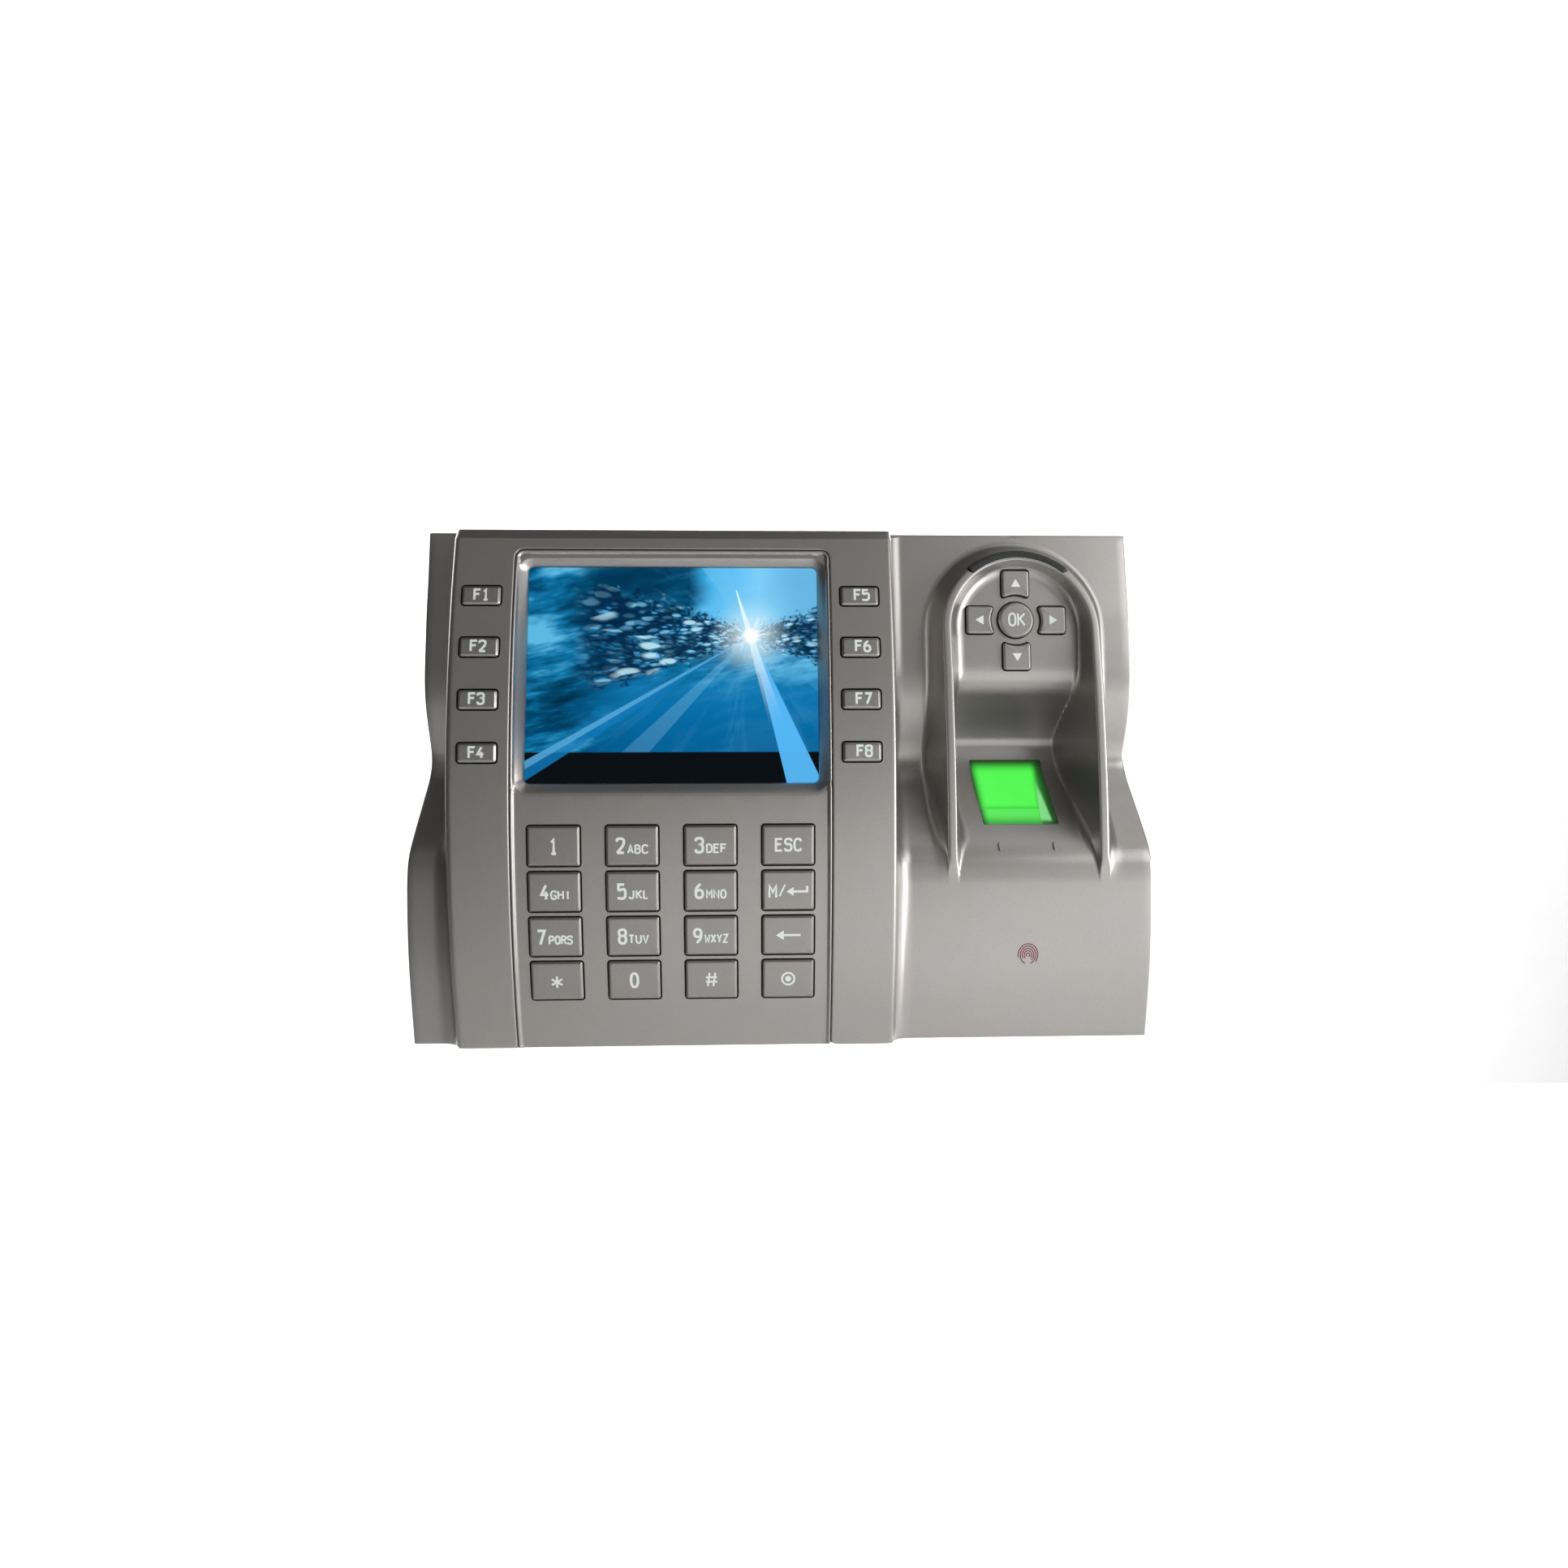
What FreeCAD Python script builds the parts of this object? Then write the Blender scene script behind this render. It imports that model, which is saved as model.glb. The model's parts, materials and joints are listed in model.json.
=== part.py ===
import FreeCAD, Part
import math
import os
import re

from FreeCAD import Placement, Rotation, Vector

# Wall-mounted fingerprint terminal: display and keypad on a convex panel, and a U-shaped
# hood beside it with a navigation pad above a sloping fingerprint window.
# Millimetres.  +X to the viewer's right, +Z up, the front faces -Y, the wall is Y = 0.
# "depth" below always means the distance out from the wall, so depth = -Y.

doc = FreeCAD.newDocument("fingerprint_terminal")
sheet = doc.addObject("Spreadsheet::Sheet", "Dims")

DIMENSIONS = [
    # housing
    ("body_width", 203.0), ("body_height", 140.7), ("wall", 2.2), ("seam_depth", 8.0),
    ("flank_rise", 1.5), ("flank_top_depth", 11.6), ("flank_hump_z", 27.0), ("flank_hump_depth", 20.7),
    ("crease_z", 7.0), ("crease_depth", 16.0), ("shelf_z", -14.0), ("shelf_depth", 34.9),
    ("plateau_z", -24.0), ("plateau_depth", 40.3), ("plateau_crest", 41.4), ("toe_depth", 39.0),
    # convex panel
    ("panel_left", -89.0), ("panel_right", 29.8), ("crest_depth", 47.5), ("crest_z", -23.56),
    ("crest_radius", 243.7),
    # inlaid fascia round the display and the keypad
    ("fascia_left", -72.1), ("fascia_right", 12.5), ("fascia_top", 64.3), ("fascia_thickness", 2.2),
    ("fascia_ledge", 2.0), ("seam_gap", 0.1),
    # display, tilted back from the vertical
    ("display_x", -29.9), ("display_z", 30.72), ("display_depth", 36.24), ("display_tilt", 12.4),
    ("display_width", 78.4), ("display_height", 59.5), ("bezel_splay", 4.2),
    ("lens_thickness", 1.0), ("lcd_thickness", 2.4),
    # keypad
    ("keypad_left", -67.6), ("keypad_top", -9.12), ("column_pitch", 20.54), ("row_pitch", 12.17),
    ("digit_width", 13.67), ("digit_height", 10.54), ("key_gap", 0.35), ("key_rise", 1.0),
    ("flange", 1.2), ("flange_slack", 0.3), ("flange_thickness", 0.8), ("keypad_board_depth", 36.0),
    ("board", 1.6), ("board_margin", 4.0), ("mat", 1.2), ("dome_radius", 2.6), ("key_foot_depth", 39.8),
    # function keys either side of the display
    ("function_left", -85.6), ("function_right", 15.4), ("function_width", 10.2),
    ("function_top", 54.06), ("function_pitch", 13.83), ("function_height", 5.0),
    # hood: a U-shaped ridge round the navigation pad and the finger ramp
    ("hood_x", 67.25), ("hood_z", 43.5), ("hood_radius", 22.35), ("hood_land", 2.6),
    ("hood_crest", 42.35), ("hood_crest_z", -59.0), ("hood_curve", 350.0), ("recess_inset", 1.6),
    ("light_radius", 22.1), ("light_width", 2.05), ("light_z", 43.9), ("light_half_angle", 39.5),
    # navigation pad
    ("nav_z", 46.4), ("nav_depth", 20.3), ("nav_slope", 0.173), ("nav_pitch", 10.4),
    ("nav_size", 7.8), ("nav_gap", 0.25), ("ok_radius", 5.1), ("nav_rise", 1.6), ("nav_board_drop", 7.4),
    # fingerprint window on the ramp
    ("pit_top_z", 26.5), ("pit_back_z", 12.0), ("pit_front_z", 6.2), ("pit_depth", 9.4),
    ("ramp_z", -2.93), ("ramp_depth", 20.62), ("ramp_angle", 38.96), ("window_width", 21.2),
    ("window_length", 26.6), ("prism_thickness", 6.0),
    # back of the terminal
    ("rear_inset", 1.0), ("plate_pocket", 2.0), ("plate_thickness", 1.5), ("plate_hole", 2.3),
    ("plate_pitch_x", 130.0), ("plate_pitch_z", 80.0), ("main_board_depth", 16.0),
    ("case_screw_x", 94.0), ("screw_head", 2.8), ("screw_shank", 1.5), ("lock_depth", 3.8),
    # main board, what stands on it, and the speaker
    ("main_left", -85.0), ("main_right", 25.0), ("main_half_height", 60.0), ("shield_height", 2.6),
    ("cell_x", 4.0), ("cell_z", 36.0), ("cell_radius", 10.0), ("cell_thickness", 3.2), ("clip", 0.6),
    ("socket_z", -49.9), ("ethernet_x", -48.0), ("ethernet_width", 16.0), ("usb_x", -23.8),
    ("usb_width", 14.4), ("power_x", -3.0), ("power_bore", 3.15), ("terminal_left", -56.0),
    ("terminal_z", -36.0), ("terminal_pitch", 6.0), ("terminal_slot", 4.0),
    ("speaker_x", 67.0), ("speaker_z", -48.0), ("speaker_radius", 14.0), ("sound_slot", 1.4),
    ("sound_pitch", 3.2), ("cable_hole", 11.0),
]
TERMINALS = 10
SOUND_SLOTS = 7
BEYOND = 60.0   # a depth out in front of everything, where a cut or a block can end
for row, (alias, value) in enumerate(DIMENSIONS, 1):
    sheet.set(f"A{row}", alias.replace("_", " "))
    sheet.set(f"B{row}", str(value))
    sheet.setAlias(f"B{row}", alias)
doc.recompute()

ALIASES = [alias for alias, value in DIMENSIONS]
ALIAS_PATTERN = re.compile(r"\b(" + "|".join(sorted(ALIASES, key=len, reverse=True)) + r")\b")
parts = []


def dim(alias):
    return float(sheet.get(alias))


def rule(text):
    """An expression in the sheet's aliases, written out for setExpression."""
    return ALIAS_PATTERN.sub(r"Dims.\1", str(text))


def bind(item, **rules):
    for name, text in rules.items():
        item.setExpression(name.replace("__", "."), rule(text))


def publish(item, label):
    item.Label = label
    parts.append(item)
    return item


# ---------------------------------------------------------------- basic pieces

def box(name, x, depth, z):
    """A block between two X, two depths and two Z, each a number or an expression."""
    item = doc.addObject("Part::Box", name)
    bind(item, Length=f"({x[1]}) - ({x[0]})", Width=f"({depth[1]}) - ({depth[0]})",
         Height=f"({z[1]}) - ({z[0]})", Placement__Base__x=x[0],
         Placement__Base__y=f"-({depth[1]})", Placement__Base__z=z[0])
    return item


def rod(name, x, z, depth, radius):
    """A cylinder along the depth axis."""
    item = doc.addObject("Part::Cylinder", name)
    item.Placement = Placement(Vector(), Rotation(Vector(1, 0, 0), -90))
    bind(item, Radius=radius, Height=f"({depth[1]}) - ({depth[0]})", Placement__Base__x=x,
         Placement__Base__y=f"-({depth[1]})", Placement__Base__z=z)
    return item


def tilted_box(name, width, length, low, high, x, depth, z, angle):
    """A block on a leaning plane: low and high are measured out of the plane at (x, depth, z)."""
    item = doc.addObject("Part::Box", name)
    bind(item, Length=width, Width=length, Height=f"({high}) - ({low})")
    doc.recompute()
    lean = Rotation(Vector(1, 0, 0), angle)
    corner = Vector(-item.Length.Value / 2, -item.Width.Value / 2, low_value(low))
    item.Placement = Placement(Vector(x, -depth, z) + lean.multVec(corner), lean)
    return item


def low_value(text):
    probe = doc.getObject("Probe") or doc.addObject("Part::Box", "Probe")
    probe.setExpression("Placement.Base.x", rule(text))
    doc.recompute()
    return probe.Placement.Base.x


def cut(name, base, tools):
    tool = tools[0] if len(tools) == 1 else fuse(name + "_tools", tools)
    item = doc.addObject("Part::Cut", name)
    item.Base = base
    item.Tool = tool
    return item


def fuse(name, pieces):
    item = doc.addObject("Part::MultiFuse", name)
    item.Shapes = pieces
    return item


def common(name, pieces):
    item = doc.addObject("Part::MultiCommon", name)
    item.Shapes = pieces
    return item


SIDE_VIEW = Rotation(Vector(1, 1, 1), 120)   # sketch x -> Y, sketch y -> Z, extrudes along X
FRONT_VIEW = Rotation(Vector(1, 0, 0), 90)   # sketch x -> X, sketch y -> Z, extrudes out of the wall


def sketch(name, edges, view):
    item = doc.addObject("Sketcher::SketchObject", name)
    item.Placement = Placement(Vector(), view)
    item.addGeometry(edges, False)
    return item


def side_outline(name, runs):
    """A closed side view.  Each run is a list of (z, depth): two points a line, three an arc."""
    edges = []
    for run in runs:
        points = [Vector(-depth, z, 0) for z, depth in run]
        edges.append(Part.Arc(*points) if len(points) == 3 else Part.LineSegment(*points))
    return sketch(name, edges, SIDE_VIEW)


def across(name, profile, x):
    """Extrude a side view between two X."""
    item = doc.addObject("Part::Extrusion", name)
    item.Base = profile
    item.DirMode = "Normal"
    item.Solid = True
    bind(item, LengthFwd=x[1], LengthRev=f"-({x[0]})")
    return item


def outward(name, profile, depth):
    """Extrude a front view between two depths."""
    item = doc.addObject("Part::Extrusion", name)
    item.Base = profile
    item.DirMode = "Normal"
    item.Solid = True
    bind(item, LengthFwd=depth[1], LengthRev=f"-({depth[0]})")
    return item


# ---------------------------------------------------------------- ruling curves

def panel_depth(z):
    return dim("crest_depth") - (z - dim("crest_z")) ** 2 / (2 * dim("crest_radius"))


def hood_depth(z):
    return dim("hood_crest") - (z - dim("hood_crest_z")) ** 2 / (2 * dim("hood_curve"))


def nav_floor(z):
    return dim("nav_depth") + dim("nav_slope") * (dim("nav_z") - z)


def display_plane(z):
    lean = math.tan(math.radians(dim("display_tilt")))
    return dim("display_depth") - lean * (z - dim("display_z"))


def ramp_plane(z):
    steep = 1 / math.tan(math.radians(dim("ramp_angle")))
    return dim("ramp_depth") - steep * (z - dim("ramp_z"))


def bowed(name, curve, offset, low, high, floor):
    """Side view under a gently bowed curve, between two heights and above a floor depth."""
    middle = (low + high) / 2
    crown = [(z, curve(z) + offset) for z in (low, middle, high)]
    return side_outline(name, [
        crown,
        [crown[2], (high, floor)],
        [(high, floor), (low, floor)],
        [(low, floor), crown[0]],
    ])


def hood_outline(name, grow):
    """Front view of the hood: straight sides, a round top, and an open lower end."""
    radius = dim("hood_radius") + grow
    middle = dim("hood_x")
    top = dim("hood_z")
    bottom = dim("plateau_z") - 4
    left = Vector(middle - radius, top, 0)
    right = Vector(middle + radius, top, 0)
    low_left = Vector(middle - radius, bottom, 0)
    low_right = Vector(middle + radius, bottom, 0)
    return sketch(name, [
        Part.Arc(right, Vector(middle, top + radius, 0), left),
        Part.LineSegment(left, low_left),
        Part.LineSegment(low_left, low_right),
        Part.LineSegment(low_right, right),
    ], FRONT_VIEW)


def housing(prefix, inset):
    """The front housing's mass; with an inset, the cavity inside it."""
    top = dim("body_height") / 2 - inset
    crown = top + dim("flank_rise")
    side = f"body_width / 2 - {inset}"
    floor = dim("seam_depth") - (1.0 if inset else 0.0)
    hump = (dim("flank_hump_z"), dim("flank_hump_depth") - inset)
    crease = (dim("crease_z"), dim("crease_depth") - inset)
    shelf = (dim("shelf_z"), dim("shelf_depth") - inset)
    plateau = (dim("plateau_z"), dim("plateau_depth") - inset)
    flank = side_outline(prefix + "_flank_view", [
        [(crown, dim("flank_top_depth") - inset), (48.0, 17.0 - inset), hump],
        [hump, (16.0, 18.8 - inset), crease],
        [crease, shelf],
        [shelf, (-18.0, 38.3 - inset), plateau],
        [plateau, (-45.0, dim("plateau_crest") - inset), (-top, dim("toe_depth") - inset)],
        [(-top, dim("toe_depth") - inset), (-top, floor)],
        [(-top, floor), (crown, floor)],
        [(crown, floor), (crown, dim("flank_top_depth") - inset)],
    ])
    base = across(prefix + "_base", flank, (f"-({side})", side))
    panel_view = bowed(prefix + "_panel_view", panel_depth, -inset, -top, top, floor)
    panel = across(prefix + "_panel", panel_view,
                   (f"panel_left + {inset}", f"panel_right - {inset}"))
    ridge_view = bowed(prefix + "_ridge_view", hood_depth, -inset, -28.0, 67.0, floor)
    ridge = across(prefix + "_ridge", ridge_view, ("0", side))
    hood = outward(prefix + "_hood_plan", hood_outline(prefix + "_hood_view", -inset), ("0", BEYOND))
    return fuse(prefix, [base, panel, common(prefix + "_hood", [hood, ridge])])


def recess(prefix, offset):
    """The hollow inside the hood: nav floor, pit and finger ramp; offset thickens its walls."""
    pit = dim("pit_depth") - offset
    lip = (dim("shelf_z") - 1.0, ramp_plane(dim("shelf_z") - 1.0) - offset)
    edge = (dim("pit_top_z") + 3.5, nav_floor(dim("pit_top_z") + 3.5) - offset)
    wall_top = (dim("pit_top_z"), edge[1] - 0.4)
    view = side_outline(prefix + "_floor_view", [
        [(70.0, nav_floor(70.0) - offset), edge],
        [edge, wall_top],
        [wall_top, (dim("pit_back_z"), pit)],
        [(dim("pit_back_z"), pit), (dim("pit_front_z"), pit)],
        [(dim("pit_front_z"), pit), lip],
        [lip, (lip[0], BEYOND)],
        [(lip[0], BEYOND), (70.0, BEYOND)],
        [(70.0, BEYOND), (70.0, nav_floor(70.0) - offset)],
    ])
    floor = across(prefix + "_floor", view, ("0", "body_width / 2"))
    shrink = -(dim("hood_land") + dim("recess_inset")) + offset
    plan = outward(prefix + "_plan", hood_outline(prefix + "_view", shrink), ("0", BEYOND))
    return common(prefix, [floor, plan])


# ---------------------------------------------------------------- keys

DIGIT_KEYS = [["1", "2", "3", "esc"], ["4", "5", "6", "menu"],
              ["7", "8", "9", "back"], ["star", "0", "hash", "power"]]


def digit_slot(row, column):
    """X and Z limits of a keypad key."""
    left = f"keypad_left + {column} * column_pitch"
    top = f"keypad_top - {row} * row_pitch"
    return (left, f"{left} + digit_width"), (f"{top} - digit_height", top)


def function_slot(number):
    """X and Z limits of a function key: F1 to F4 on the left, F5 to F8 on the right."""
    left = "function_left" if number < 4 else "function_right"
    top = f"function_top - {number % 4} * function_pitch"
    return (left, f"{left} + function_width"), (f"{top} - function_height", top)


def grow(span, amount):
    return (f"{span[0]} - {amount}", f"{span[1]} + {amount}")


def centred(middle, size):
    return (f"{middle} - ({size}) / 2", f"{middle} + ({size}) / 2")


crown_view = bowed("crown_view", panel_depth, dim("key_rise"), -70.0, 70.0, 0.0)
crown = across("crown", crown_view, ("-95", "35"))


def panel_key(name, slot, foot, shoulder):
    """A key whose top follows the panel, with a flange behind the panel to keep it in."""
    x, z = slot
    stem = common(name + "_cap", [box(name + "_block", x, (foot, BEYOND), z), crown])
    brim = box(name + "_brim", grow(x, "flange"), (foot, shoulder), z)
    return publish(fuse(name, [stem, brim]), name)


def make_panel_keys():
    for row, names in enumerate(DIGIT_KEYS):
        top = dim("keypad_top") - row * dim("row_pitch")
        lowest = min(panel_depth(top), panel_depth(top - dim("digit_height")))
        cover = dim("fascia_thickness") + dim("fascia_ledge")
        shoulder = lowest - cover - dim("flange_slack")
        for column, name in enumerate(names):
            panel_key("key_" + name, digit_slot(row, column), "key_foot_depth", shoulder)
    for number in range(8):
        top = dim("function_top") - (number % 4) * dim("function_pitch")
        shoulder = panel_depth(top) - dim("wall") - dim("flange_slack")
        panel_key(f"key_f{number + 1}", function_slot(number), f"{shoulder} - flange_thickness", shoulder)


def nav_places():
    pitch = dim("nav_pitch")
    return {"up": (0, pitch), "down": (0, -pitch), "left": (-pitch, 0), "right": (pitch, 0)}


nav_crown_view = side_outline("nav_crown_view", [
    [(25.0, nav_floor(25.0) + dim("nav_rise")), (70.0, nav_floor(70.0) + dim("nav_rise"))],
    [(70.0, nav_floor(70.0) + dim("nav_rise")), (70.0, 0.0)],
    [(70.0, 0.0), (25.0, 0.0)],
    [(25.0, 0.0), (25.0, nav_floor(25.0) + dim("nav_rise"))],
])
nav_crown = across("nav_crown", nav_crown_view, ("40", "95"))


def make_nav_keys():
    for name, (dx, dz) in nav_places().items():
        x = centred(f"hood_x + {dx}", "nav_size")
        z = centred(f"nav_z + {dz}", "nav_size")
        highest = dim("nav_z") + dz + dim("nav_size") / 2
        shoulder = nav_floor(highest) - dim("wall") - dim("flange_slack")
        label = "nav_" + name
        stem = common(label + "_cap", [box(label + "_block", x, (shoulder, BEYOND), z), nav_crown])
        brim = box(label + "_brim", grow(x, "flange / 2"), (f"{shoulder} - flange_thickness", shoulder),
                   grow(z, "0.1"))
        scoop = rod(label + "_scoop", "hood_x", "nav_z", ("0", BEYOND), "ok_radius + 1.35")
        publish(cut(label, fuse(label + "_mass", [stem, brim]), [scoop]), label)
    shoulder = nav_floor(dim("nav_z") + dim("ok_radius")) - dim("wall") - dim("flange_slack")
    button = rod("ok_block", "hood_x", "nav_z", (shoulder, BEYOND), "ok_radius")
    stem = common("ok_cap", [button, nav_crown])
    brim = rod("ok_brim", "hood_x", "nav_z", (f"{shoulder} - flange_thickness", shoulder),
               "ok_radius + flange / 2")
    publish(fuse("nav_ok", [stem, brim]), "nav_ok")


# ---------------------------------------------------------------- housing parts

def display_pocket(name, low, high, splay):
    """The opening in front of the display, splayed outwards."""
    frames = []
    for height, widen in ((low, 0.0), (high, splay)):
        half_x = dim("display_width") / 2 + widen
        half_y = dim("display_height") / 2 + widen
        ring = [Vector(-half_x, -half_y, height), Vector(half_x, -half_y, height),
                Vector(half_x, half_y, height), Vector(-half_x, half_y, height)]
        frames.append(Part.makePolygon(ring + ring[:1]))
    item = doc.addObject("Part::Feature", name)
    item.Shape = Part.makeLoft(frames, True, True)
    item.Placement = display_placement()
    return item


def display_placement():
    lean = Rotation(Vector(1, 0, 0), 90 - dim("display_tilt"))
    return Placement(Vector(dim("display_x"), -dim("display_depth"), dim("display_z")), lean)


def light_arc(name, depth, slack):
    """A slice of a ring round the hood's centre, with radial ends."""
    outer = dim("light_radius") + slack
    inner = dim("light_radius") - dim("light_width") - slack
    half = math.radians(dim("light_half_angle")) + slack / outer
    centre = Vector(dim("hood_x"), dim("light_z"), 0)

    def point(radius, angle):
        return centre + Vector(radius * math.sin(angle), radius * math.cos(angle), 0)
    view = sketch(name + "_view", [
        Part.Arc(point(outer, half), point(outer, 0), point(outer, -half)),
        Part.LineSegment(point(outer, -half), point(inner, -half)),
        Part.Arc(point(inner, -half), point(inner, 0), point(inner, half)),
        Part.LineSegment(point(inner, half), point(outer, half)),
    ], FRONT_VIEW)
    return outward(name, view, depth)


def post_places():
    """Keypad board posts, between the key columns."""
    x_gap = dim("keypad_left") + dim("digit_width") + (dim("column_pitch") - dim("digit_width")) / 2
    columns = [x_gap, x_gap + 2 * dim("column_pitch")]
    rows = [dim("keypad_top") - dim("row_pitch") + 0.8, dim("keypad_top") - 3 * dim("row_pitch") + 0.8]
    return [(x, z) for x in columns for z in rows]


def side_board_posts():
    """Posts behind the gaps between the function keys."""
    middle = dim("function_top") - dim("function_height") / 2 - dim("function_pitch") / 2
    heights = [middle, middle - 2 * dim("function_pitch")]
    half = dim("function_width") / 2
    columns = [dim("function_left") + half, dim("function_right") + half]
    return [(x, z) for x in columns for z in heights]


def nav_posts():
    offset = dim("nav_pitch") * 0.86
    return [(dim("hood_x") + sx * offset, dim("nav_z") + sz * offset) for sx, sz in ((-1, 1), (1, 1),
                                                                                    (-1, -1), (1, -1))]


# depth at which each case screw boss runs into the flank, by height
BOSS_TOPS = {-62.0: 38.4, 2.0: 18.9, 62.0: 12.9}


def case_screw_places():
    x = dim("case_screw_x")
    return [(side * x, z) for side in (-1, 1) for z in BOSS_TOPS]


def fascia_ledge():
    """The shelf in the front cover that the fascia lies on."""
    outer = dim("fascia_thickness")
    inner = outer + dim("fascia_ledge")
    low = -dim("body_height") / 2 + 0.5
    high = dim("fascia_top") + 3.0
    shelf_x = ("fascia_left - 1.0", "fascia_right + 1.0")
    top_view = bowed("shelf_top_view", panel_depth, -outer + 0.5, low, high, 10.0)
    under_view = bowed("shelf_under_view", panel_depth, -inner, low - 1, high + 1, 5.0)
    return cut("shelf", across("shelf_solid", top_view, shelf_x),
               [across("shelf_under", under_view, grow(shelf_x, "1"))])


def make_front_cover():
    cavity = cut("cavity", housing("inner", dim("wall")), [recess("recess_skin", dim("wall"))])
    shell = cut("shell", housing("outer", 0.0), [recess("recess_hollow", 0.0), cavity])
    ribs = []
    for index, (x, z) in enumerate(case_screw_places()):
        ribs.append(rod(f"case_boss_{index}", x, z, ("seam_depth", BOSS_TOPS[z]), 3.0))
    for index, (x, z) in enumerate(post_places()):
        ribs.append(rod(f"keypad_post_{index}", x, z, ("keypad_board_depth", panel_depth(z) - 3.5), 1.6))
    for index, (x, z) in enumerate(side_board_posts()):
        ribs.append(rod(f"side_post_{index}", x, z, (display_plane(z) - 2.0, panel_depth(z) - 1.5), 2.0))
    for index, (x, z) in enumerate(nav_posts()):
        board_face = nav_floor(z) - dim("nav_board_drop") + 0.3
        ribs.append(rod(f"nav_post_{index}", x, z, (board_face, nav_floor(z) - 1.2), 1.3))
    body = fuse("cover_mass", [shell, fascia_ledge()] + ribs)

    openings = []
    below_view = bowed("below_view", panel_depth, -dim("fascia_thickness") - 0.05,
                       -75.0, dim("fascia_top") + 0.2, 0.0)
    inlay_x = ("fascia_left - seam_gap", "fascia_right + seam_gap")
    inlay = box("inlay_block", inlay_x, ("0", BEYOND), ("-75", "fascia_top + seam_gap"))
    openings.append(cut("inlay_pocket", inlay, [across("inlay_bed", below_view, grow(inlay_x, "1"))]))
    openings.append(box("display_hole", ("fascia_left + 0.7", "fascia_right - 0.7"), ("20", BEYOND),
                        ("-1.0", "fascia_top - 1.6")))
    for row in range(4):
        for column in range(4):
            x, z = digit_slot(row, column)
            openings.append(box(f"digit_hole_{row}{column}", grow(x, "key_gap"), ("38", BEYOND),
                                grow(z, "key_gap")))
    for number in range(8):
        x, z = function_slot(number)
        openings.append(box(f"function_hole_{number}", grow(x, "key_gap"), ("25", BEYOND),
                            grow(z, "key_gap")))
    openings += nav_openings()
    openings.append(light_arc("light_slot", ("9", BEYOND), 0.08))
    openings.append(tilted_box("window_hole", "window_width + 0.2", "window_length + 0.2", "-8", "8",
                               dim("hood_x"), dim("ramp_depth"), dim("ramp_z"), dim("ramp_angle")))
    for index, (x, z) in enumerate(case_screw_places()):
        openings.append(rod(f"case_pilot_{index}", x, z, ("seam_depth - 1", "12.3"), 1.55))
    publish(cut("front_cover", body, openings), "front_cover")


def nav_openings():
    holes = [rod("ok_hole", "hood_x", "nav_z", ("8", BEYOND), "ok_radius + nav_gap")]
    for name, (dx, dz) in nav_places().items():
        x = grow(centred(f"hood_x + {dx}", "nav_size"), "nav_gap")
        z = grow(centred(f"nav_z + {dz}", "nav_size"), "nav_gap")
        block = box(name + "_hole_block", x, ("8", BEYOND), z)
        keep = rod(name + "_hole_keep", "hood_x", "nav_z", ("0", f"{BEYOND} + 1"), "ok_radius + 1.05")
        holes.append(cut(name + "_hole", block, [keep]))
    return holes


def make_fascia():
    top = dim("fascia_top")
    bottom = -dim("body_height") / 2
    skin_view = bowed("fascia_skin_view", panel_depth, 0.0, bottom, top, 0.0)
    under_view = bowed("fascia_under_view", panel_depth, -dim("fascia_thickness"), bottom - 1, top + 1,
                       -5.0)
    skin = cut("fascia_skin", across("fascia_solid", skin_view, ("fascia_left", "fascia_right")),
               [across("fascia_under", under_view, ("fascia_left - 1", "fascia_right + 1"))])
    frame_x = ("fascia_left + 1.0", "fascia_right - 1.0")
    frame_block = across("frame_solid", bowed("frame_view", panel_depth, 0.0, -0.6, top - 2.0, 20.0),
                         frame_x)
    behind = tilted_box("frame_behind", "120", "90", "-30", "0", dim("display_x"),
                        dim("display_depth"), dim("display_z"), 90 - dim("display_tilt"))
    frame = cut("display_frame", frame_block, [behind])
    holes = [display_pocket("display_opening", -0.5, 7.5, dim("bezel_splay"))]
    for row in range(4):
        for column in range(4):
            x, z = digit_slot(row, column)
            holes.append(box(f"fascia_hole_{row}{column}", grow(x, "key_gap"), ("38", BEYOND),
                             grow(z, "key_gap")))
    publish(cut("display_fascia", fuse("fascia_mass", [skin, frame]), holes), "display_fascia")


def on_display(name, width, height, low, high):
    return tilted_box(name, width, height, low, high, dim("display_x"), dim("display_depth"),
                      dim("display_z"), 90 - dim("display_tilt"))


def make_display():
    publish(on_display("display_lens", "display_width + 2.4", "display_height + 2.0",
                       "-lens_thickness", "0"), "display_lens")
    publish(on_display("lcd_panel", "display_width + 2.0", "display_height + 1.6",
                       "-lens_thickness - lcd_thickness", "-lens_thickness"), "lcd_panel")
    tray = on_display("lcd_tray_block", "display_width + 5.4", "display_height + 4.2",
                      "-lens_thickness - 4.4", "-lens_thickness - 0.6")
    pocket = on_display("lcd_tray_pocket", "display_width + 2.2", "display_height + 1.8",
                        "-lens_thickness - lcd_thickness - 0.1", "1")
    publish(cut("lcd_tray", tray, [pocket]), "lcd_tray")


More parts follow.
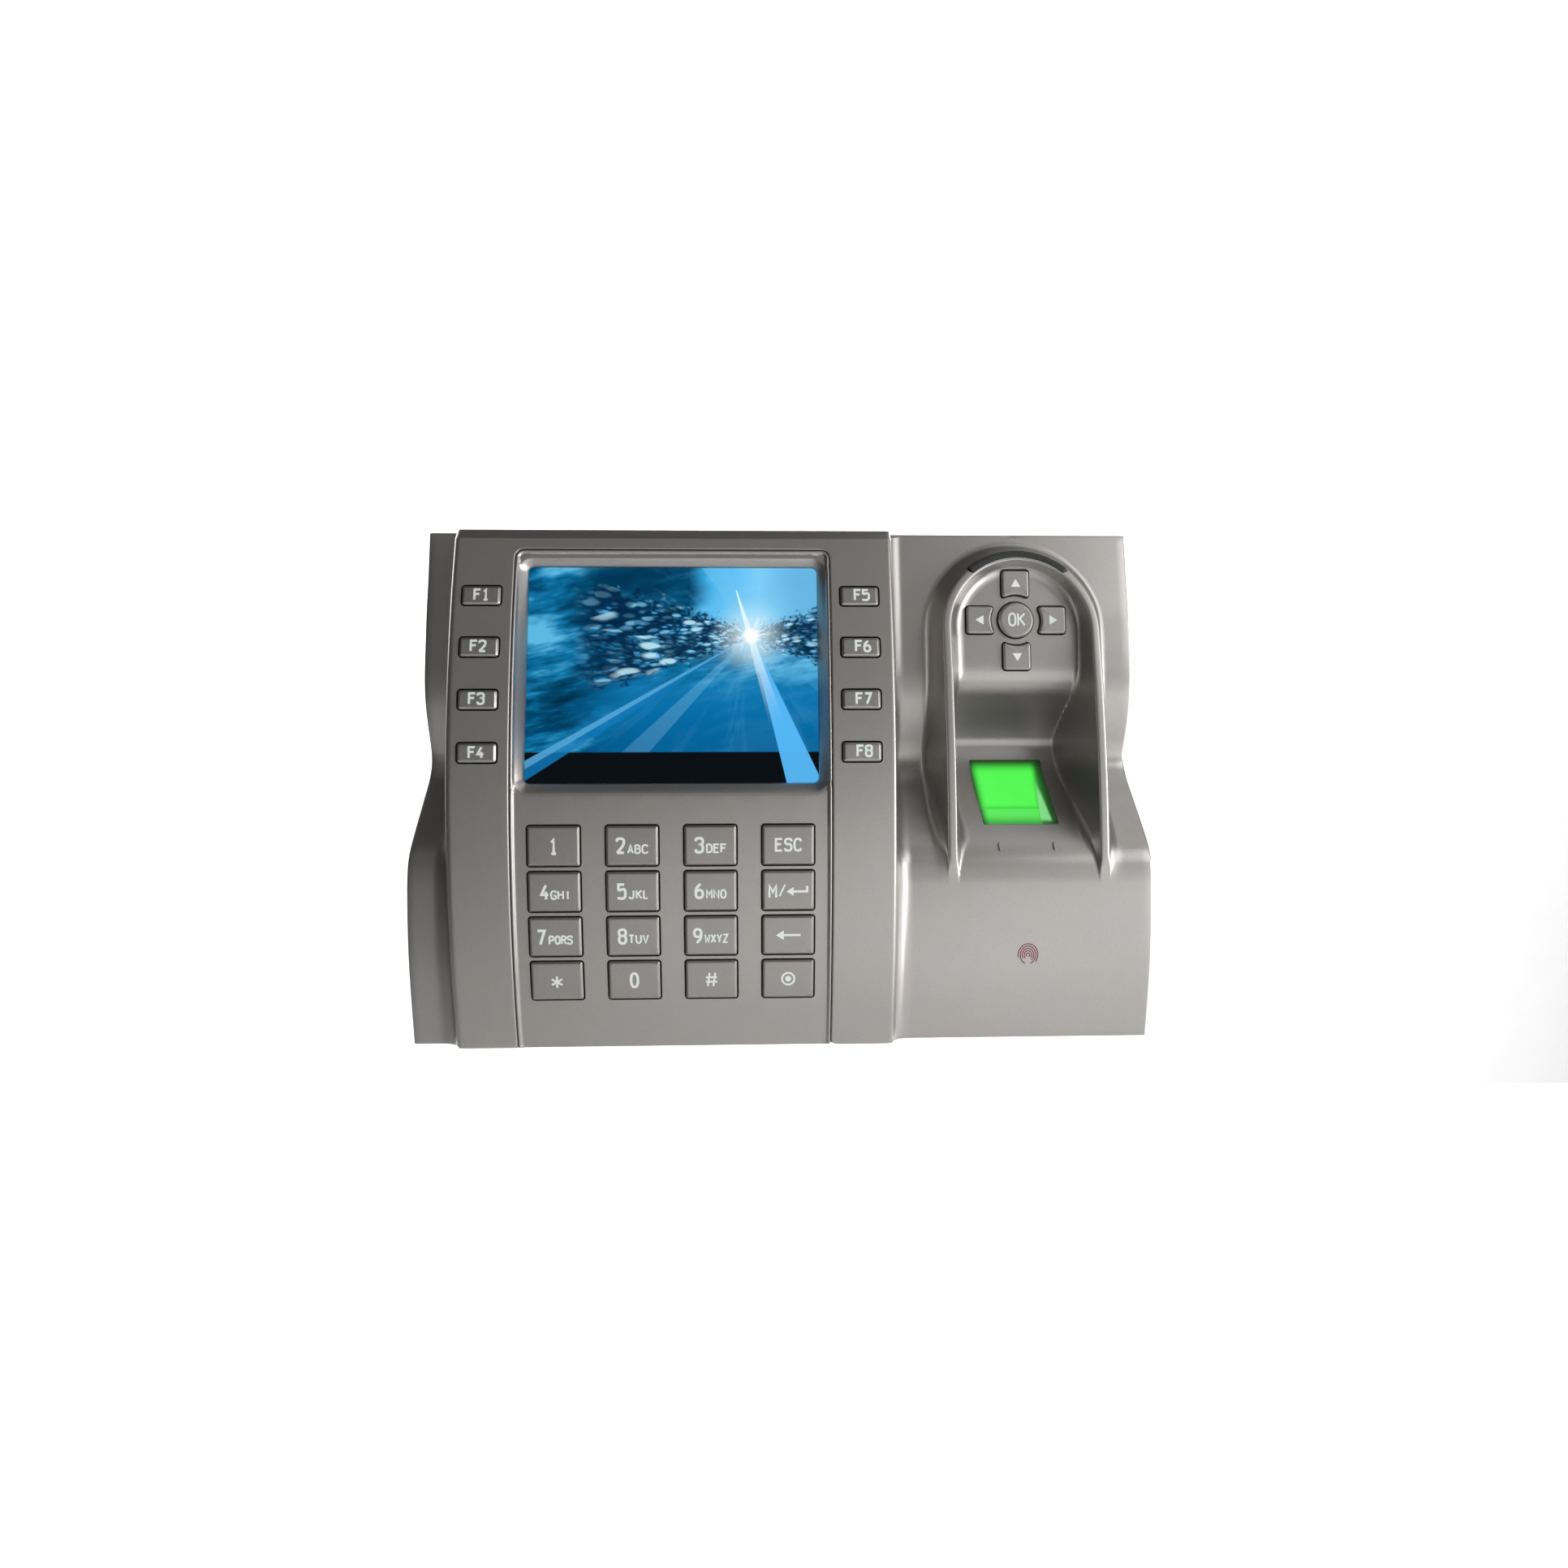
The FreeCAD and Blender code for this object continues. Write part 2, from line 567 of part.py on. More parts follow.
def make_side_boards():
    """Boards behind the function keys, parallel to the display, with a dome for each key."""
    height = 3 * dim("function_pitch") + dim("function_height") + 6
    middle = dim("function_top") - dim("function_height") / 2 - 1.5 * dim("function_pitch")
    for side, first in (("left", 0), ("right", 4)):
        left = dim("function_left") if first == 0 else dim("function_right")
        centre = left + dim("function_width") / 2
        board = tilted_box(f"side_board_{side}", "function_width + 2.0", height, "-3.6", "-2.4",
                           centre, display_plane(middle), middle, 90 - dim("display_tilt"))
        domes = []
        for step in range(4):
            z = dim("function_top") - dim("function_height") / 2 - step * dim("function_pitch")
            face = display_plane(z) - 2.4
            domes.append(rod(f"side_dome_{side}_{step}", centre, z, (face - 0.6, face + 0.2), 2.2))
        publish(fuse(f"side_keys_pcb_{side}", [board] + domes), f"side_keys_pcb_{side}")


# ---------------------------------------------------------------- keypad and navigation electronics

def make_keypad_boards():
    x = grow(("keypad_left", "keypad_left + 3 * column_pitch + digit_width"), "board_margin")
    z = grow(("keypad_top - 3 * row_pitch - digit_height", "keypad_top"), "board_margin")
    publish(box("keypad_pcb", x, ("keypad_board_depth - board", "keypad_board_depth"), z), "keypad_pcb")
    sheet_body = box("mat_sheet", grow(x, "-1"), ("keypad_board_depth", "keypad_board_depth + mat"),
                     grow(z, "-1"))
    domes = []
    for row in range(4):
        for column in range(4):
            key_x, key_z = digit_slot(row, column)
            domes.append(rod(f"mat_dome_{row}{column}", f"({key_x[0]} + {key_x[1]}) / 2",
                             f"({key_z[0]} + {key_z[1]}) / 2",
                             ("keypad_board_depth + mat - 0.3", "keypad_board_depth + mat + 1.0"),
                             "dome_radius"))
    posts = [rod(f"mat_hole_{index}", px, pz, ("30", "45"), 2.1)
             for index, (px, pz) in enumerate(post_places())]
    publish(cut("keypad_mat", fuse("mat_mass", [sheet_body] + domes), posts), "keypad_mat")


def make_nav_boards():
    angle = 90 - math.degrees(math.atan(dim("nav_slope")))
    face = -dim("nav_board_drop") * math.cos(math.atan(dim("nav_slope")))
    lift = dim("nav_z") + 0.2
    board = tilted_box("nav_board", "32", "28", face - 1.2, face, dim("hood_x"), nav_floor(lift), lift,
                       angle)
    trims = [box("nav_board_trim_left", ("45", "56.5"), ("0", "30"), ("57.5", "75")),
             box("nav_board_trim_right", ("78", "90"), ("0", "30"), ("57.5", "75"))]
    publish(cut("nav_pcb", board, trims), "nav_pcb")
    pad = tilted_box("nav_pad", "30", "26", face, face + 0.8, dim("hood_x"), nav_floor(lift), lift, angle)
    pad_trims = [box("nav_pad_trim_left", ("45", "57.5"), ("0", "30"), ("57", "75")),
                 box("nav_pad_trim_right", ("77", "90"), ("0", "30"), ("57", "75"))]
    posts = [rod(f"nav_pad_hole_{index}", px, pz, ("5", "30"), 1.8)
             for index, (px, pz) in enumerate(nav_posts())]
    publish(cut("nav_mat", pad, pad_trims + posts), "nav_mat")


def make_status_light():
    ridge_view = bowed("light_ridge_view", hood_depth, 0.0, 40.0, 70.0, 0.0)
    ridge = across("light_ridge", ridge_view, ("0", "body_width / 2"))
    guide = common("light_guide", [light_arc("light_arc", ("10.2", BEYOND), 0.0), ridge])
    publish(guide, "status_light_pipe")
    publish(box("status_led_board", centred("hood_x", 22), ("8.6", "9.8"), ("59.4", "65.4")),
            "status_led_board")


# ---------------------------------------------------------------- fingerprint module

def on_ramp(name, width, length, low, high, down=0.0):
    """A block on the finger ramp, centred a distance down it from the window's centre."""
    lean = math.radians(dim("ramp_angle"))
    depth = dim("ramp_depth") + down * math.cos(lean)
    z = dim("ramp_z") - down * math.sin(lean)
    return tilted_box(name, width, length, low, high, dim("hood_x"), depth, z, dim("ramp_angle"))


def make_sensor():
    publish(on_ramp("sensor_prism", "window_width", "window_length", "-prism_thickness", "0"),
            "sensor_prism")
    block = on_ramp("holder_block", "window_width + 5", "17", "-16", "-3.2", 5.0)
    hollow = on_ramp("holder_hollow", "window_width - 1", "14", "-14.4", "3", 5.0)
    seat = on_ramp("holder_seat", "window_width + 0.2", "window_length + 0.2", "-prism_thickness - 0.1", "3")
    publish(cut("sensor_holder", block, [hollow, seat]), "sensor_holder")
    board = on_ramp("camera_board", "16", "10", "-14.3", "-13.1", 4.0)
    barrel = on_ramp("camera_barrel", "7", "7", "-13.2", "-9", 4.0)
    publish(fuse("sensor_camera", [board, barrel]), "sensor_camera")
    publish(on_ramp("sensor_led_board", "window_width - 3", "2.4", "-7.6", "-6.4", 10.4), "sensor_led_board")


# ---------------------------------------------------------------- main board and connectors

def make_main_board():
    back = "main_board_depth"
    face = "main_board_depth + board"
    publish(box("main_pcb", ("main_left", "main_right"), (back, face),
                ("-main_half_height", "main_half_height")), "main_pcb")
    publish(box("processor_shield", ("-52", "-20"), (face, f"{face} + shield_height"), ("-2", "30")),
            "processor_shield")
    cell = rod("cell", "cell_x", "cell_z", (f"{face} + clip", f"{face} + clip + cell_thickness"),
               "cell_radius")
    clip = box("cell_clip", centred("cell_x", 24), (face, f"{face} + clip"), centred("cell_z", 8))
    publish(fuse("rtc_battery", [cell, clip]), "rtc_battery")
    make_sockets(back)


def make_sockets(back):
    """The connectors behind the main board, which open towards the wall."""
    jack = box("ethernet_block", centred("ethernet_x", "ethernet_width"), ("2.6", back),
               ("socket_z - 7.1", "socket_z + 6.5"))
    port = box("ethernet_cavity", centred("ethernet_x", "ethernet_width - 4"), ("0", "13"),
               ("socket_z - 4.7", "socket_z + 3.5"))
    publish(cut("ethernet_jack", jack, [port]), "ethernet_jack")
    shell = box("usb_block", centred("usb_x", "usb_width"), ("3.6", back), centred("socket_z", 7))
    slot = box("usb_cavity", centred("usb_x", "usb_width - 1.2"), ("0", "13"), centred("socket_z", 5.8))
    publish(cut("usb_port", shell, [slot]), "usb_port")
    barrel = box("power_block", centred("power_x", 9), ("3.0", back), ("socket_z - 5.5", "socket_z + 5.5"))
    bore = rod("power_bore_room", "power_x", "socket_z", ("0", "12.5"), "power_bore")
    pin = rod("power_pin", "power_x", "socket_z", ("5", "13"), 1.0)
    publish(fuse("power_jack", [cut("power_shell", barrel, [bore]), pin]), "power_jack")
    rail = box("terminal_rail", ("terminal_left", f"terminal_left + {TERMINALS} * terminal_pitch"),
               ("6.0", back), centred("terminal_z", "2 * terminal_slot"))
    wires = []
    for number in range(TERMINALS):
        middle = f"terminal_left + {number} * terminal_pitch + terminal_pitch / 2"
        wires.append(box(f"terminal_slot_{number}", centred(middle, "terminal_slot"), ("0", "11"),
                         centred("terminal_z", "terminal_slot")))
    publish(cut("terminal_block", rail, wires), "terminal_block")


# ---------------------------------------------------------------- rear cover, plate and fixings

MAIN_POSTS = [(-81.0, -56.0), (-81.0, 56.0), (21.0, -56.0), (21.0, 56.0)]
HOOK_X = [-72.0, 72.0]


def make_rear_cover():
    half_x = "body_width / 2 - rear_inset"
    half_z = "body_height / 2 - rear_inset"
    block = box("rear_block", (f"-({half_x})", half_x), ("0", "seam_depth"),
                (f"-({half_z})", f"{half_z} + flank_rise"))
    front = box("rear_hollow", (f"-({half_x} - wall)", f"{half_x} - wall"),
                ("plate_pocket + wall", "seam_depth + 1"),
                (f"-({half_z} - wall)", f"{half_z} + flank_rise - wall"))
    back = box("rear_pocket", ("-90", "90"), ("-1", "plate_pocket"), ("-66.6", "62"))
    window = box("rear_window", ("-60", "10"), ("-1", "7"), ("-59", "-29"))
    tray = cut("rear_tray", block, [front, back, window])
    additions = []
    holes = []
    for index, (x, z) in enumerate(case_screw_places()):
        additions.append(rod(f"screw_tube_{index}", x, z, ("0", "seam_depth"), 4.5))
        holes.append(rod(f"screw_head_room_{index}", x, z, ("-1", "5.6"), 3.1))
        holes.append(rod(f"screw_shank_room_{index}", x, z, ("0", "9"), 1.7))
    for index, (x, z) in enumerate(MAIN_POSTS):
        additions.append(rod(f"board_post_{index}", x, z, ("plate_pocket + 0.5", "main_board_depth"), 3.0))
        holes.append(rod(f"board_post_bore_{index}", x, z, ("8", "17"), 1.05))
    lock_z = "-body_height / 2 + rear_inset"
    additions.append(box("lock_block", ("-8", "8"), ("0", "seam_depth"), (lock_z, f"{lock_z} + 4.4")))
    for index, x in enumerate(HOOK_X):
        holes.append(box(f"hook_slot_{index}", (x - 6, x + 6), ("-1", "5"), ("44", "53")))
    holes.append(box("lock_tab_slot", ("-7", "7"), ("-1", "7.6"), ("-64.7", "-61")))
    for line in range(SOUND_SLOTS):
        low = f"speaker_z - 10 + {line} * sound_pitch"
        holes.append(box(f"sound_slot_{line}", centred("speaker_x", 18), ("-1", "5"),
                         (low, f"{low} + sound_slot")))
    bore = lock_rod("lock_bore", -72.0, -60.0, 1.7)
    head = lock_rod("lock_head_room", -72.0, -67.2, 3.1)
    mass = fuse("rear_mass", [tray] + additions)
    publish(cut("rear_cover", mass, holes + [bore, head]), "rear_cover")


def lock_rod(name, low, high, radius):
    """A vertical cylinder on the locking screw's line."""
    item = doc.addObject("Part::Cylinder", name)
    item.Placement.Base = Vector(0, -dim("lock_depth"), low)
    item.Radius = radius
    item.Height = high - low
    return item


def make_wall_plate():
    plate = box("plate_sheet", ("-84", "84"), ("0", "plate_thickness"), ("-62", "56"))
    tab = box("plate_tab", ("-6", "6"), ("0", "7"), ("-63.5", "-62"))
    pieces = [plate, tab]
    for index, x in enumerate(HOOK_X):
        pieces.append(box(f"hook_neck_{index}", (x - 5, x + 5), ("0", "6.2"), ("45", "46.5")))
        pieces.append(box(f"hook_tongue_{index}", (x - 5, x + 5), ("4.9", "6.2"), ("45", "52")))
    holes = [box("plate_window", ("-62", "12"), ("-1", "3"), ("-61", "-27"))]
    for index, (sx, sz) in enumerate(((-1, -1), (1, -1), (-1, 1), (1, 1))):
        holes.append(rod(f"plate_hole_{index}", f"{sx} * plate_pitch_x / 2", f"{sz} * plate_pitch_z / 2",
                         ("-1", "3"), "plate_hole"))
    holes.append(rod("cable_way", "40", "10", ("-1", "3"), "cable_hole"))
    holes.append(lock_rod("tab_bore", -70.0, -55.0, 1.55))
    publish(cut("wall_plate", fuse("plate_mass", pieces), holes), "wall_plate")


def make_fixings():
    screws = []
    for index, (x, z) in enumerate(case_screw_places()):
        screws.append(rod(f"case_screw_head_{index}", x, z, ("3.4", "5.6"), "screw_head"))
        screws.append(rod(f"case_screw_shank_{index}", x, z, ("5.5", "12.0"), "screw_shank"))
    publish(fuse("case_screws", screws), "case_screws")
    small = []
    for index, (x, z) in enumerate(MAIN_POSTS):
        depth = "main_board_depth + board"
        small.append(rod(f"board_screw_head_{index}", x, z, (depth, f"{depth} + 1.6"), 2.3))
        small.append(rod(f"board_screw_shank_{index}", x, z, ("10", f"{depth} + 0.5"), 1.0))
    publish(fuse("board_screws", small), "board_screws")
    lock = fuse("lock_screw", [lock_rod("lock_shank", -67.3, -61.0, dim("screw_shank")),
                               lock_rod("lock_head", -69.2, -67.2, dim("screw_head"))])
    publish(lock, "lock_screw")


def make_speaker():
    body = rod("speaker_body", "speaker_x", "speaker_z", ("plate_pocket + wall", "9"), "speaker_radius")
    magnet = rod("speaker_magnet", "speaker_x", "speaker_z", ("8.9", "12.5"), 8.0)
    publish(fuse("speaker", [body, magnet]), "speaker")


# ---------------------------------------------------------------- build, check and write

def main():
    make_front_cover()
    make_fascia()
    make_display()
    make_side_boards()
    make_panel_keys()
    make_nav_keys()
    make_keypad_boards()
    make_nav_boards()
    make_status_light()
    make_sensor()
    make_main_board()
    make_rear_cover()
    make_wall_plate()
    make_fixings()
    make_speaker()
    drill_main_board()
    doc.recompute()
    check_and_write()


def drill_main_board():
    """Clearance holes for the board screws."""
    board = doc.getObject("main_pcb")
    parts.remove(board)
    board.Label = "main_board_blank"
    holes = [rod(f"main_hole_{index}", x, z, ("10", "22"), 1.3) for index, (x, z) in enumerate(MAIN_POSTS)]
    publish(cut("main_board", board, holes), "main_pcb")


def check_and_write():
    for item in doc.Objects:
        if "Invalid" in item.State or "Error" in item.State:
            raise RuntimeError(f"{item.Label} failed: {item.State}")
    os.makedirs("parts", exist_ok=True)
    for item in parts:
        shape = item.Shape
        if shape.isNull() or not shape.isValid() or not shape.Solids:
            raise RuntimeError(f"{item.Label} has no valid solid")
        shape.exportStep(f"parts/{item.Label}.step")
    print(len(parts), "sub-parts written")


main()
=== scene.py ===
"""Looks of the fingerprint terminal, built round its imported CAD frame.

Design work is in millimetres: x to the viewer's right, z up, and "depth" the distance out from
the wall.  world() turns (x, depth, z) into metres in the frame, where the front faces -Y.
"""
import json
import math

import bmesh
import bpy
import numpy as np
from mathutils import Matrix, Vector
from mathutils.geometry import delaunay_2d_cdt

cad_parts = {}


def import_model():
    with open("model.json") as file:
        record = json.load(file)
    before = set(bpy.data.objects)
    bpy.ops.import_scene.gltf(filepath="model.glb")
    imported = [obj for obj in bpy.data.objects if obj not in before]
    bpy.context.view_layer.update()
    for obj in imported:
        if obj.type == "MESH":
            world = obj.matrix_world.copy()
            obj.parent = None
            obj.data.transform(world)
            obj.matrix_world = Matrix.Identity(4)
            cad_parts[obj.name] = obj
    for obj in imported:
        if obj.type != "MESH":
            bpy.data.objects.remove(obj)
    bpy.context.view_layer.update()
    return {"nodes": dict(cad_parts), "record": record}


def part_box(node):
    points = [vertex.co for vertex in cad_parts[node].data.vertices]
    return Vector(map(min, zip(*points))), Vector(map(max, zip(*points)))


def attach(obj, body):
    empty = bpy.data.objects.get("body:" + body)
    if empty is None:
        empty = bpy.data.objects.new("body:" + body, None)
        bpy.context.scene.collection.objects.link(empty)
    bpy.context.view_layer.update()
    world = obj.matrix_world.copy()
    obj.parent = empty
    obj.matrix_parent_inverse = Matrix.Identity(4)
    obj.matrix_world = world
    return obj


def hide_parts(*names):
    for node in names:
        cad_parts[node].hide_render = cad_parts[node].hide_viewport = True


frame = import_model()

MM = 0.001
ROOT_BODY = "terminal"


def node_span(node, axis):
    """Low and high of a CAD node in millimetres along X or Z."""
    low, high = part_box(node)
    return low[axis] / MM, high[axis] / MM


X_AXIS, Z_AXIS = 0, 2

# ---------------------------------------------------------------- sizes

HALF_WIDTH = node_span("front_cover", X_AXIS)[1]
BOTTOM, TOP = node_span("front_cover", Z_AXIS)
PANEL_TOP = -BOTTOM
SEAM_DEPTH = 8.0
WALL = 1.9
EDGE_ROUND = 0.6

PANEL_LEFT, PANEL_RIGHT = -89.0, 29.8
CHAMFER_Z, CHAMFER_SLOPE = 67.5, 0.62
CREST_DEPTH, CREST_Z, CREST_RADIUS = 47.5, -23.56, 243.7
FASCIA_LEFT, FASCIA_RIGHT = node_span("display_fascia", X_AXIS)
FASCIA_TOP = node_span("display_fascia", Z_AXIS)[1]
FASCIA_SUNK = 0.7
FASCIA_CORNER = 2.2
OPENING_GAP = 0.15
FASCIA_THICKNESS = 2.2

DISPLAY_X, DISPLAY_Z, DISPLAY_DEPTH, DISPLAY_TILT = -29.9, 30.72, 36.24, math.radians(12.4)
DISPLAY_WIDTH, DISPLAY_HEIGHT = 78.4, 58.15
BEZEL_WIDTH, DISPLAY_CORNER = 2.3, 1.6

HOOD_X, HOOD_Z, HOOD_RADIUS, HOOD_LAND, HOOD_FOOT = 67.25, 43.5, 22.35, 2.6, 4.0
HOOD_END, HOOD_WHOLE = -27.0, -20.5
RIDGE_DEPTH, RIDGE_Z, RIDGE_RADIUS = 42.35, -59.0, 350.0
LIGHT_Z, LIGHT_OUTER, LIGHT_WIDTH, LIGHT_HALF_ANGLE = 44.1, 22.1, 1.95, math.radians(39.5)
NAV_Z, NAV_DEPTH, NAV_SLOPE = 46.4, 20.3, 0.173
NAV_PITCH, NAV_HALF, NAV_SCOOP = 10.4, 3.9, 7.3
OK_RADIUS, OK_HOLE = 5.1, 5.45
RAMP_Z, RAMP_DEPTH, RAMP_ANGLE = -2.93, 20.62, math.radians(38.96)
WINDOW_WIDTH, WINDOW_LENGTH = 21.2, 26.6
GUIDE_XS, GUIDE_LOW, GUIDE_HIGH, GUIDE_HALF, GUIDE_RISE = (59.74, 75.0), -17.5, -15.7, 0.28, 0.6
MARK_X, MARK_Z = 67.0, -46.2

KEY_GAP = 0.42
FLANGE = 1.2
KEY_RISE, NAV_RISE, OK_RISE = 0.75, 1.3, 1.5
DIGIT_CORNER, FUNCTION_CORNER, NAV_CORNER = 0.5, 0.75, 0.9
DIGIT_KEYS = ["1", "2", "3", "esc", "4", "5", "6", "menu", "7", "8", "9", "back",
              "star", "0", "hash", "power"]
DIGIT_NODES = ["key_" + key for key in DIGIT_KEYS]
FUNCTION_NODES = [f"key_f{number}" for number in range(1, 9)]
# Each navigation key's place from OK, in pitches, and the turn of its arrow in degrees.
NAV_KEYS = {"up": (0, 1, 90), "down": (0, -1, -90), "left": (-1, 0, 180), "right": (1, 0, 0)}


# ---------------------------------------------------------------- ruling surfaces

def spline(knots):
    """A smooth curve through (position, value) knots, as a function of an array."""
    knots = sorted(knots)
    at = np.array([k[0] for k in knots], float)
    value = np.array([k[1] for k in knots], float)
    step = np.diff(at)
    slope = np.diff(value) / step
    tangent = np.concatenate([[slope[0]], (slope[:-1] * step[1:] + slope[1:] * step[:-1])
                              / (step[1:] + step[:-1]), [slope[-1]]])

    def curve(position):
        position = np.clip(position, at[0], at[-1])
        i = np.clip(np.searchsorted(at, position) - 1, 0, len(step) - 1)
        t = (position - at[i]) / step[i]
        h00 = (1 + 2 * t) * (1 - t) ** 2
        h10 = t * (1 - t) ** 2
        h01 = t * t * (3 - 2 * t)
        h11 = t * t * (t - 1)
        return (h00 * value[i] + h10 * step[i] * tangent[i]
                + h01 * value[i + 1] + h11 * step[i] * tangent[i + 1])
    return curve


flank_depth = spline([(71.9, 11.5), (62.3, 13.6), (55.6, 15.2), (48.9, 16.9), (42.4, 18.2), (35.8, 19.5),
                      (29.3, 20.5), (23.5, 20.5), (19.0, 19.6), (14.5, 18.3), (10.5, 17.0), (7.6, 16.4),
                      (5.0, 16.7), (2.0, 18.4), (-4.0, 24.4), (-11.0, 31.7), (-14.5, 35.2), (-17.3, 37.6),
                      (-20.0, 39.1), (-24.0, 40.2), (-30.0, 40.9), (-38.0, 41.3), (-47.0, 41.3),
                      (-56.0, 40.6), (-64.0, 39.7), (-70.4, 38.9)])

hood_floor = spline([(70.0, 16.2), (60.0, 17.95), (46.4, 20.3), (36.0, 22.1), (33.6, 22.47), (31.8, 22.58),
                     (30.0, 22.38), (28.4, 21.88), (27.0, 21.1), (25.4, 19.9), (23.6, 18.25), (13.0, 10.05),
                     (11.8, 9.45), (10.6, 9.2), (9.4, 9.25), (8.2, 9.65), (5.4, 10.95),
                     (-11.5, 31.2), (-13.4, 33.4), (-15.4, 35.5),
                     (-17.6, 37.4), (-20.0, 38.9), (-24.0, 40.1), (-30.0, 40.9), (-40.0, 41.3)])


def panel_depth(z):
    return CREST_DEPTH - (z - CREST_Z) ** 2 / (2 * CREST_RADIUS)


def ridge_depth(z):
    return RIDGE_DEPTH - (z - RIDGE_Z) ** 2 / (2 * RIDGE_RADIUS)


def display_plane(z):
    return DISPLAY_DEPTH - math.tan(DISPLAY_TILT) * (z - DISPLAY_Z)


def nav_plane(z):
    return NAV_DEPTH + NAV_SLOPE * (NAV_Z - z)


def smooth(low, high, value):
    t = np.clip((value - low) / (high - low), 0.0, 1.0)
    return t * t * (3 - 2 * t)


def rounding(distance, radius):
    """How far a rounded edge has dropped at a distance inside it."""
    t = np.clip(1.0 - distance / radius, 0.0, 1.0)
    return radius * (1.0 - np.sqrt(1.0 - t * t * 0.998))


def hood_distance(x, z):
    """Distance from the hood's centre line, which is straight below HOOD_Z and a point above it."""
    return np.hypot(x - HOOD_X, np.maximum(z - HOOD_Z, 0.0))


def step_down(distance, top, base, fillet, crest):
    """A wall: distance is positive outside its crest, which is rounded; the foot has a hollow fillet."""
    lean = 0.35
    inside = top - rounding(-distance, crest)
    tall = np.maximum(top - crest - base, 0.0)
    foot = np.minimum(fillet, 0.85 * tall)
    t = np.clip((distance - lean) / fillet, 0.0, 1.0)
    hollow = base + foot * (1.0 - np.sqrt(np.maximum(1.0 - (1.0 - t) ** 2, 0.0)))
    drop = np.clip(distance / lean, 0.0, 1.0)
    outside = np.where(distance < lean, (top - crest) * (1 - drop) + (base + foot) * drop, hollow)
    return np.where(distance < 0.0, inside, outside)


def panel_top(z):
    """The main panel with its chamfered top edge."""
    return panel_depth(z) - CHAMFER_SLOPE * np.maximum(z - CHAMFER_Z, 0.0)


def hollow_side(distance, top, base, lean, radius):
    """An inner wall: it leans in by a little, then turns into the floor through a hollow fillet."""
    deep = np.maximum(top - base, 0.0)
    turn = np.maximum(np.minimum(radius, deep), 0.01)
    width, foot = 0.9 * turn, 0.564 * turn
    wall = top + (base + foot - top) * np.clip(distance / lean, 0.0, 1.0)
    bow = base + turn - np.sqrt(turn ** 2 - np.clip(lean + width - distance, 0.0, width) ** 2)
    return np.where(distance < lean, wall, bow)


def hood_height(x, z, base):
    """The U-shaped ridge with its outer foot, and the hollow inside it."""
    r = hood_distance(x, z)
    land_inner = HOOD_RADIUS - HOOD_LAND
    fade = smooth(HOOD_END, HOOD_WHOLE, z)
    ridge = base + (ridge_depth(z) - base) * fade
    floor = base + (hood_floor(z) - base) * fade
    tall, deep = ridge - base, np.maximum(ridge - floor, 0.0)
    outer_edge = 0.55 * smooth(0.3, 2.0, tall)
    inner_edge = 0.5 * smooth(0.3, 2.0, deep)
    land = ridge - rounding(HOOD_RADIUS - r, 0.9) / 0.9 * outer_edge
    land = land - rounding(r - land_inner, 0.5) / 0.5 * inner_edge
    out = np.clip((r - HOOD_RADIUS) / HOOD_FOOT, 0.0, 1.0)
    foot = 0.45 * (1.0 - out) ** 2 + 0.55 * (1.0 - np.sqrt(1.0 - (1.0 - out) ** 2))
    outside = base + (tall - outer_edge * 0.955) * foot
    soft = 1.0 - smooth(32.0, 22.0, z) * smooth(-14.0, -5.0, z)
    widest = np.where((x > HOOD_X) & (z > 0.0), 3.3 - 1.6 * smooth(52.0, 40.0, z), 3.3)
    inside = hollow_side(land_inner - r, ridge - inner_edge * 0.955, floor, 0.35 + 0.165 * deep,
                         0.5 + widest * soft)
    body = np.where(r > HOOD_RADIUS, outside, np.where(r < land_inner, inside, land))
    return np.where(r < HOOD_RADIUS + HOOD_FOOT, body, base)


def box_distance(x, z, x0, x1, z0, z1, corner):
    """Distance outside a rounded rectangle, negative inside."""
    dx = np.abs(x - (x0 + x1) / 2) - ((x1 - x0) / 2 - corner)
    dz = np.abs(z - (z0 + z1) / 2) - ((z1 - z0) / 2 - corner)
    outside = np.hypot(np.maximum(dx, 0.0), np.maximum(dz, 0.0))
    return outside + np.minimum(np.maximum(dx, dz), 0.0) - corner


def fascia_distance(x, z):
    """Distance outside the fascia's outline, which runs off the housing's lower edge."""
    return box_distance(x, z, FASCIA_LEFT, FASCIA_RIGHT, BOTTOM - 20.0, FASCIA_TOP, FASCIA_CORNER)


def cover_height(x, z):
    """Depth of the front cover's outer face, and of the frame under the fascia."""
    base = flank_depth(z)
    sideways = np.maximum(PANEL_LEFT - x, x - PANEL_RIGHT)
    height = np.minimum(step_down(sideways, panel_top(z), base, 5.0, np.where(x < 0.0, 1.6, 1.0)),
                        step_down(z - PANEL_TOP, panel_top(z), base, 0.9, 0.6))
    hood = hood_height(x, z, base)
    height = np.where(hood_distance(x, z) < HOOD_RADIUS + HOOD_FOOT, hood, height)
    opening = fascia_distance(x, z) - OPENING_GAP
    height = np.where(opening > 0, height - rounding(opening, 0.45), height)
    height = np.where(opening < -0.01, panel_depth(z) - FASCIA_THICKNESS - 0.3, height)
    border = np.minimum(HALF_WIDTH - np.abs(x), np.minimum(TOP - z, z - BOTTOM))
    return height - rounding(border, EDGE_ROUND)


